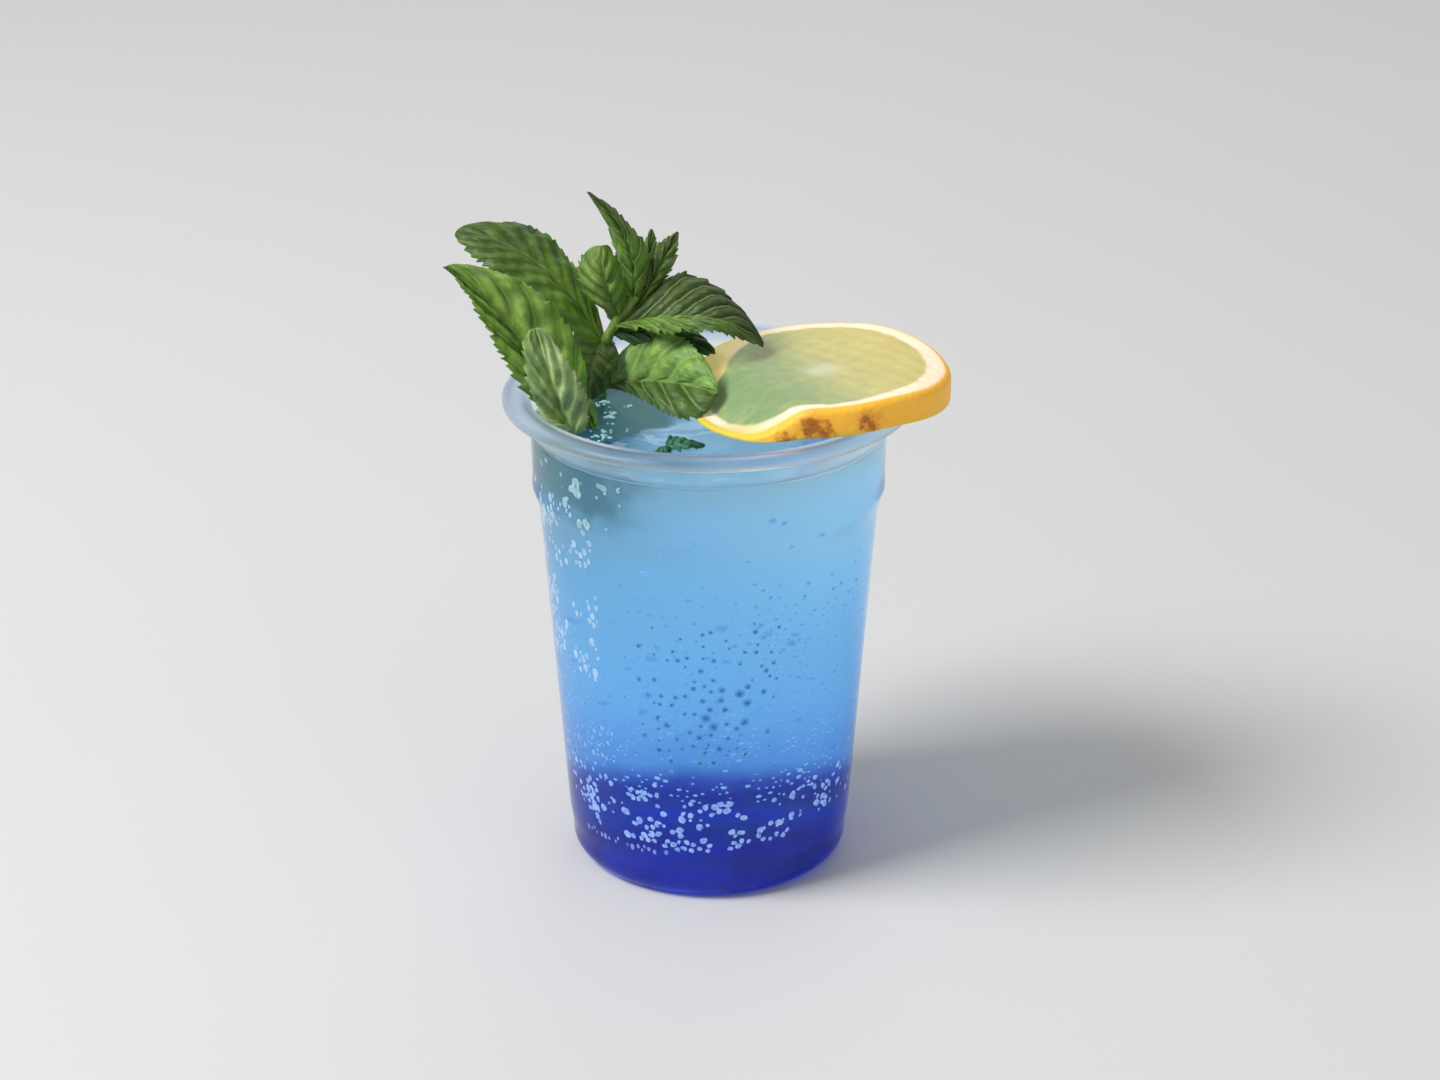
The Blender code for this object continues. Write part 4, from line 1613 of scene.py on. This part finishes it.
@dataclass
class FoamField(BubbleField):
    """Bubbles that float on the drink, over a rectangle of its surface."""

    corner: tuple[float, float] = (-0.031, -0.016)
    far_corner: tuple[float, float] = (-0.019, 0.014)
    level: float = LEVEL

    def patch(self) -> bpy.types.Mesh:
        """A grid that lies on the drink's surface.

        Returns:
            The grid.
        """
        across, up = 24, 24
        points = [
            (x, y, self.level)
            for y in np.linspace(self.corner[1], self.far_corner[1], up + 1)
            for x in np.linspace(self.corner[0], self.far_corner[0], across + 1)
        ]
        return grid_mesh(self.name + "_patch", points, across, up)


def grid_mesh(name: str, points: list[Point], across: int, up: int) -> bpy.types.Mesh:
    """Make a mesh of rows of points.

    Args:
        name: The mesh's name.
        points: The points, row by row.
        across: Spans in each row.
        up: Spans from the first row to the last.

    Returns:
        The mesh.
    """
    width = across + 1
    faces = [
        (r * width + c, r * width + c + 1, (r + 1) * width + c + 1, (r + 1) * width + c)
        for r in range(up)
        for c in range(across)
    ]
    mesh = bpy.data.meshes.new(name)
    mesh.from_pydata([tuple(map(float, point)) for point in points], [], faces)
    return mesh


TALL_SPRIG = Sprig(
    name="mint_tall",
    stem_radius=0.0016,
    stem=(
        (-0.0270, 0.0205, 0.0960),
        (-0.0264, 0.0186, 0.1110),
        (-0.0256, 0.0150, 0.1235),
        (-0.0226, 0.0122, 0.1310),
        (-0.0172, 0.0124, 0.1385),
    ),
    blades={
        "top_left": Blade(
            (-0.0184, 0.0120, 0.1365), (-0.0194, 0.0090, 0.1527), (-0.0281, 0.0060, 0.1661),
            (-0.0030, 0.0050, -0.0033), (0.0046, 0.0040, -0.0018),
            Tone.FRESH, Tone.MID, point=1.0, veins=5.0, tip_shade=0.4, veins_and_hollow_shade=0.8,
        ),
        "top_bud": Blade(
            (-0.0168, 0.0130, 0.1370), (-0.0145, 0.0160, 0.1462), (-0.0137, 0.0180, 0.1533),
            (-0.0022, 0.0020, -0.0001), (0.0023, 0.0020, -0.0001),
            Tone.DEEP, Tone.DEEP, veins=4.0,
        ),
        "top_right": Blade(
            (-0.0163, 0.0120, 0.1366), (-0.0111, 0.0140, 0.1464), (-0.0073, 0.0160, 0.1532),
            (-0.0023, 0.0030, 0.0017), (0.0027, 0.0020, -0.0018),
            Tone.SHADE, Tone.DEEP, widest=0.45, point=1.1, veins=5.0,
        ),
        "arching": Blade(
            (-0.0231, 0.0120, 0.1310), (-0.0039, 0.0040, 0.1353), (0.0130, 0.0040, 0.1289),
            (0.0004, 0.0115, 0.0064), (-0.0009, -0.0070, -0.0015),
            Tone.SHADE, Tone.MID, widest=0.44, point=0.95, right_widest=0.52, right_point=0.9,
            arch=0.0016, veins=7.0, quilt=0.0008, tip_shade=0.5, slant=0.36, veins_and_hollow_shade=0.65,
        ),
        "short": Blade(
            (-0.0212, 0.0115, 0.1335), (-0.0242, 0.0070, 0.1430), (-0.0252, 0.0090, 0.1520),
            (-0.0066, 0.0040, -0.0006), (0.0044, 0.0040, -0.0004),
            Tone.DULL, Tone.MID, widest=0.54, point=0.50, veins=5.0, quilt=0.0008, veins_and_hollow_shade=0.25,
        ),
        "back_left": Blade(
            (-0.0256, 0.0135, 0.1264), (-0.0402, 0.0160, 0.1450), (-0.0602, 0.0220, 0.1518),
            (-0.0048, -0.0065, -0.0042), (0.0044, 0.0078, 0.0022),
            Tone.OLIVE, Tone.OLIVE, widest=0.5, point=0.6, right_widest=0.62,
            right_point=0.46, veins=8.0, quilt=0.0003, tip_shade=0.55, veins_and_hollow_shade=0.05,
        ),
        "front_right": Blade(
            (-0.0252, 0.0180, 0.1135), (-0.0116, 0.0010, 0.1212), (0.0022, -0.0112, 0.1226),
            (0.0000, 0.0080, 0.0098), (-0.0038, -0.0058, -0.0058),
            Tone.COOL, Tone.MOSS, widest=0.5, point=0.6, right_widest=0.80,
            right_point=0.38, veins=5.0, quilt=0.0009, veins_and_hollow_shade=0.5,
        ),
        "under_arch": Blade(
            (-0.0235, 0.0128, 0.1295), (-0.0092, 0.0100, 0.1293), (0.0015, 0.0060, 0.1267),
            (0.0004, 0.0046, 0.0028), (0.0017, -0.0020, -0.0043),
            Tone.DUSK, Tone.DUSK, veins=6.0,
        ),
        "behind": Blade(
            (-0.0215, 0.0165, 0.1300), (-0.0208, 0.0170, 0.1380), (-0.0220, 0.0172, 0.1450),
            (-0.0052, 0.0010, 0.0000), (0.0048, 0.0010, 0.0000),
            Tone.SHADE, Tone.SHADE, point=0.6, veins=5.0,
        ),
        "hanging": Blade(
            (-0.0254, 0.0145, 0.1272), (-0.0278, 0.0072, 0.1220), (-0.0286, 0.0060, 0.1144),
            (0.0058, 0.0020, -0.0007), (-0.0082, 0.0040, 0.0018),
            Tone.SHADE, Tone.MOSS, widest=0.45, point=0.6, right_widest=0.36, veins=5.0,
        ),
    },
)
LOW_SPRIG = Sprig(
    name="mint_low",
    stem_radius=0.0015,
    stem=(
        (-0.0320, -0.0072, 0.1072),
        (-0.0326, -0.0071, 0.1098),
        (-0.0331, -0.0069, 0.1125),
        (-0.0336, -0.0056, 0.1165),
    ),
    blades={
        "front_left": Blade(
            (-0.0336, -0.0055, 0.1135), (-0.0459, -0.0035, 0.1357), (-0.0614, 0.0000, 0.1498),
            (-0.0064, -0.0034, -0.0002), (0.0100, 0.0085, 0.0026),
            Tone.OLIVE, Tone.BRIGHT, widest=0.31, point=1.4, right_widest=0.40, right_point=0.6,
            veins=5.0, quilt=0.0014, tip_shade=0.30, slant=0.42, veins_and_hollow_shade=0.40,
        ),
        "pale_front": Blade(
            (-0.0322, -0.0085, 0.1110), (-0.0365, -0.0105, 0.1246), (-0.0402, -0.0085, 0.1376),
            (-0.0056, 0.0020, -0.0015), (0.0066, 0.0020, 0.0005),
            Tone.ASH, Tone.PALE, widest=0.55, point=0.42, right_widest=0.36,
            right_point=0.7, veins=4.0, quilt=0.0010, tip_shade=-0.1, slant=0.5, veins_and_hollow_shade=0.25,
        ),
        "rim_leaf": Blade(
            (-0.0315, -0.0090, 0.1122), (-0.0362, -0.0088, 0.1152), (-0.0400, -0.0030, 0.1192),
            (-0.0022, -0.0030, 0.0000), (0.0026, 0.0026, 0.0008),
            Tone.PALE, Tone.GREY, widest=0.5, point=0.6, veins=5.0,
        ),
        "waterline": Blade(
            (-0.0335, -0.0050, 0.1135), (-0.0298, -0.0045, 0.1150), (-0.0262, -0.0078, 0.1125),
            (0.0010, 0.0010, 0.0034), (-0.0008, 0.0010, -0.0030),
            Tone.MID, Tone.MID, widest=0.5, point=0.6, veins=4.0,
        ),
    },
)


@dataclass
class FloatingScrap:
    """A torn scrap of mint that floats on the drink."""

    blades: tuple[Blade, ...] = (
        Blade(
            (-0.0104, -0.0176, 0.1111), (-0.0062, -0.0168, 0.1114), (-0.0008, -0.0152, 0.1110),
            (-0.0008, 0.0026, 0.0002), (0.0008, -0.0024, 0.0000),
            Tone.TEAL, Tone.TEAL, widest=0.5, point=0.8, veins=4.0, quilt=0.0005,
        ),
        Blade(
            (-0.0098, -0.0158, 0.1111), (-0.0078, -0.0140, 0.1113), (-0.0046, -0.0126, 0.1110),
            (-0.0010, 0.0014, 0.0001), (0.0012, -0.0014, 0.0000),
            Tone.TEAL, Tone.TEAL, widest=0.4, point=0.7, veins=3.0, quilt=0.0005,
        ),
        Blade(
            (-0.0086, -0.0186, 0.1110), (-0.0104, -0.0204, 0.1112), (-0.0128, -0.0212, 0.1109),
            (0.0006, -0.0012, 0.0001), (-0.0006, 0.0013, 0.0000),
            Tone.TEAL, Tone.TEAL, widest=0.5, point=0.8, veins=3.0, quilt=0.0004,
        ),
    )

    def build(self) -> bpy.types.Object:
        """Make the scrap.

        Returns:
            The scrap as one piece.
        """
        piece = joined_leaves("floating_scrap", LeafShaper(columns=16, rows_per_tooth=4), self.blades)
        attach(piece, ROOT)
        return piece


@dataclass
class Studio:
    """Plain pale floor, soft lights and the camera at the photo's angle."""

    camera_place: Point = (0.00268, -0.700, 0.3777)
    pitch_degrees: float = 23.0
    lens: float = 78.65
    floor_size: float = 6.0
    sensor_width: float = 36.0
    surroundings: float = 0.36

    def build(self) -> None:
        """Make the floor, the world, the lights and the camera."""
        half = self.floor_size / 2
        corners = np.array([(-half, -half, 0.0), (half, -half, 0.0), (half, half, 0.0), (-half, half, 0.0)])
        floor = make_piece("studio_floor", corners, [(0, 1, 2, 3)], PaleFloor().material())
        self.world()
        self.softbox("key", (-1.25, -0.48, 1.52), (0.0, 0.0, 0.06), 0.9, 35.5)
        self.softbox("fill", (0.9, -0.8, 0.7), (0.0, 0.0, 0.06), 0.9, 1.2)
        self.softbox("back", (0.25, 1.1, 0.9), (0.0, 0.0, 0.08), 0.8, 2.0)
        camera = bpy.data.cameras.new("camera")
        camera.lens = self.lens
        camera.sensor_width = self.sensor_width
        camera.clip_start = 0.01
        holder = bpy.data.objects.new("camera", camera)
        holder.location = self.camera_place
        holder.rotation_euler = (math.radians(90.0 - self.pitch_degrees), 0.0, 0.0)
        bpy.context.scene.collection.objects.link(holder)
        bpy.context.scene.camera = holder
        bpy.context.scene.view_settings.view_transform = "Standard"

    def world(self) -> None:
        """Even pale surroundings."""
        world = bpy.data.worlds.new("studio")
        world.use_nodes = True
        inputs = world.node_tree.nodes["Background"].inputs
        inputs["Color"].default_value = (1.0, 1.0, 1.0, 1.0)
        inputs["Strength"].default_value = self.surroundings
        bpy.context.scene.world = world

    def softbox(self, name: str, place: Point, target: Point, size: float, power: float) -> None:
        """Add a square area light.

        Args:
            name: Its name.
            place: Where it stands.
            target: Where it points.
            size: Its side.
            power: Its power in watts.
        """
        light = bpy.data.lights.new(name, "AREA")
        light.shape = "SQUARE"
        light.size = size
        light.energy = power
        holder = bpy.data.objects.new(name, light)
        holder.location = place
        way = Vector(target) - Vector(place)
        holder.rotation_euler = way.to_track_quat("-Z", "Y").to_euler()
        bpy.context.scene.collection.objects.link(holder)


def bubble_fields(cup: Cup) -> list[BubbleField]:
    """The patches of bubbles, from the few large ones to the many fine ones.

    Args:
        cup: The cup whose wall they cling to.

    Returns:
        The fields to build.
    """
    white = Bubble(
        "white_bubbles", from_srgb(190, 218, 240), from_srgb(150, 194, 228), 0.10, 0.62, 0.3,
        from_srgb(132, 184, 228),
    )
    cloudy = Bubble(
        "cloudy_bubbles", from_srgb(176, 208, 218), from_srgb(136, 180, 194), 0.0, 0.66, 0.3,
        from_srgb(110, 154, 170),
    )
    deep = Bubble("deep_bubbles", from_srgb(94, 160, 220), from_srgb(28, 100, 164), 0.0, 0.72, 0.8)
    hazy = Bubble("hazy_bubbles", from_srgb(110, 175, 228), from_srgb(82, 148, 205), 0.0, 0.76, 0.8)
    faint = Bubble("faint_bubbles", from_srgb(116, 180, 229), from_srgb(100, 164, 214), 0.0, 0.78, 0.8)
    fine = Bubble(
        "fine_bubbles", from_srgb(142, 192, 236), from_srgb(112, 170, 226), 0.1, 0.66, 0.4,
        from_srgb(98, 154, 220),
    )
    violet = Bubble(
        "syrup_bubbles", from_srgb(168, 196, 238), from_srgb(118, 154, 226), 0.05, 0.58, 0.35,
        from_srgb(84, 116, 206), 0.7,
    )
    dim = Bubble(
        "dim_bubbles", from_srgb(146, 170, 230), from_srgb(96, 122, 210), 0.05, 0.58, 0.35,
        from_srgb(70, 94, 192), 0.6,
    )
    syrup = {"gather": 0.86, "drift_scale": 210.0, "apart": 0.0015, "spin": 1.0, "uneven": 0.0008}
    ice = {"gather": 0.0, "apart": 0.0020, "spin": 1.0, "uneven": 0.0010}
    return [
        BubbleField(
            "cluster_mid", cup, (252, 290), (0.0142, 0.0280), 1.7e6, (0.0007, 0.0012), violet, 23, 1.15,
            **syrup,
        ),
        BubbleField(
            "cluster_left", cup, (204, 250), (0.0156, 0.0300), 2.2e6, (0.0007, 0.0012), violet, 5, 1.15,
            **syrup,
        ),
        BubbleField(
            "cluster_right", cup, (288, 308), (0.0160, 0.0240), 2.4e6, (0.0007, 0.0012), violet, 6, 1.2,
            **syrup,
        ),
        BubbleField(
            "cluster_rim", cup, (304, 334), (0.0200, 0.0300), 2.2e6, (0.0006, 0.0011), violet, 7, 1.3,
            **syrup,
        ),
        BubbleField(
            "dotted_arc", cup, (212, 256), (0.0123, 0.0135), 4e6, (0.0004, 0.0008), dim, 4, 1.4,
            gather=0.2, apart=0.0012, uneven=0.0004,
        ),
        BubbleField(
            "loose", cup, (196, 346), (0.0190, 0.0330), 1.5e5, (0.0004, 0.0009), violet, 16,
            gather=0.4, apart=0.0020, uneven=0.0004,
        ),
        BubbleField(
            "speckles", cup, (186, 350), (0.0270, 0.0345), 8e5, (0.0004, 0.0010), fine, 6, 0.6,
            gather=0.6, apart=0.0014, uneven=0.0004,
        ),
        BubbleField(
            "left_foam", cup, (219, 234), (0.0350, 0.0435), 1.2e6, (0.0005, 0.0009), fine, 24,
            gather=0.4, apart=0.0013, uneven=0.0006,
        ),
        BubbleField(
            "deep_low", cup, (251, 284), (0.0355, 0.0590), 3.2e5, (0.0006, 0.0014), deep, 9,
            gather=0.30, apart=0.0023,
        ),
        BubbleField(
            "deep_high", cup, (243, 296), (0.0420, 0.0760), 1.6e5, (0.0004, 0.0008), deep, 8,
            gather=0.5, apart=0.0018,
        ),
        BubbleField(
            "hazy_high", cup, (238, 332), (0.0440, 0.0860), 1.1e5, (0.0004, 0.0009), hazy, 9, 0.7,
            gather=0.4, apart=0.0021,
        ),
        BubbleField(
            "smudges", cup, (244, 326), (0.0740, 0.1020), 2.4e4, (0.0007, 0.0013), faint, 19, 0.7,
            gather=0.3, apart=0.003, uneven=0.0004,
        ),
        BubbleField(
            "dashes", cup, (276, 350), (0.0400, 0.0800), 4.5e5, (0.0004, 0.0009), faint, 10, 0.4,
            gather=0.5, apart=0.0015,
        ),
        BubbleField(
            "low_dashes", cup, (276, 350), (0.0320, 0.0460), 5e5, (0.0004, 0.0010), fine, 18, 0.4,
            gather=0.5, apart=0.0016,
        ),
        BubbleField(
            "fine_left", cup, (196, 280), (0.0320, 0.0640), 2.4e5, (0.0003, 0.0005), faint, 11, 0.6,
            detail=1,
        ),
        BubbleField(
            "left_flecks", cup, (190, 228), (0.0560, 0.1010), 9e5, (0.0005, 0.0012), white, 12, 1.3,
            gather=0.8, apart=0.0015, uneven=0.0006,
        ),
        BubbleField(
            "left_low", cup, (190, 226), (0.0290, 0.0600), 7e5, (0.0003, 0.0007), fine, 13, 1.4,
            gather=0.5, apart=0.0013, uneven=0.0004,
        ),
        BubbleField(
            "left_patches", cup, (200, 246), (0.0960, 0.1098), 2.4e5, (0.0006, 0.0016), cloudy, 31, 0.7,
            gather=0.8, apart=0.0024, spin=0.6, uneven=0.0010,
        ),
        BubbleField(
            "ice_high", cup, (232, 238), (0.1070, 0.1092), 9e5, (0.0018, 0.0028), cloudy, 3, 0.6,
            **ice,
        ),
        BubbleField(
            "ice_mid", cup, (220, 226), (0.1045, 0.1075), 9e5, (0.0016, 0.0024), cloudy, 4, 0.8,
            **ice,
        ),
        BubbleField(
            "ice_low", cup, (222, 228), (0.0970, 0.0990), 9e5, (0.0014, 0.0020), cloudy, 5, 0.7,
            **ice,
        ),
        BubbleField(
            "behind", cup, (-8, 186), (0.0150, 0.0540), 1.2e5, (0.0003, 0.0008), fine, 21, 1.2,
            gather=0.6, apart=0.0018, detail=1,
        ),
        FoamField(
            "foam", cup, (0, 0), (0, 0), 9e5, (0.0003, 0.0009), cloudy, 15,
            flat=0.0004, gather=0.9, drift_scale=240.0, apart=0.0009, uneven=0.0004,
        ),
    ]


def main() -> None:
    """Build every piece in order."""
    logging.basicConfig(level=logging.INFO, format="%(message)s")
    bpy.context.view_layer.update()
    cup = Cup()
    for builder in (cup, Drink(cup), Slice(), TALL_SPRIG, LOW_SPRIG, FloatingScrap(), *bubble_fields(cup)):
        made = builder.build()
        for piece in made if isinstance(made, list) else [made]:
            log.info("%s: %d faces", piece.name, len(piece.data.polygons))
    Studio().build()


if __name__ == "__main__":
    main()
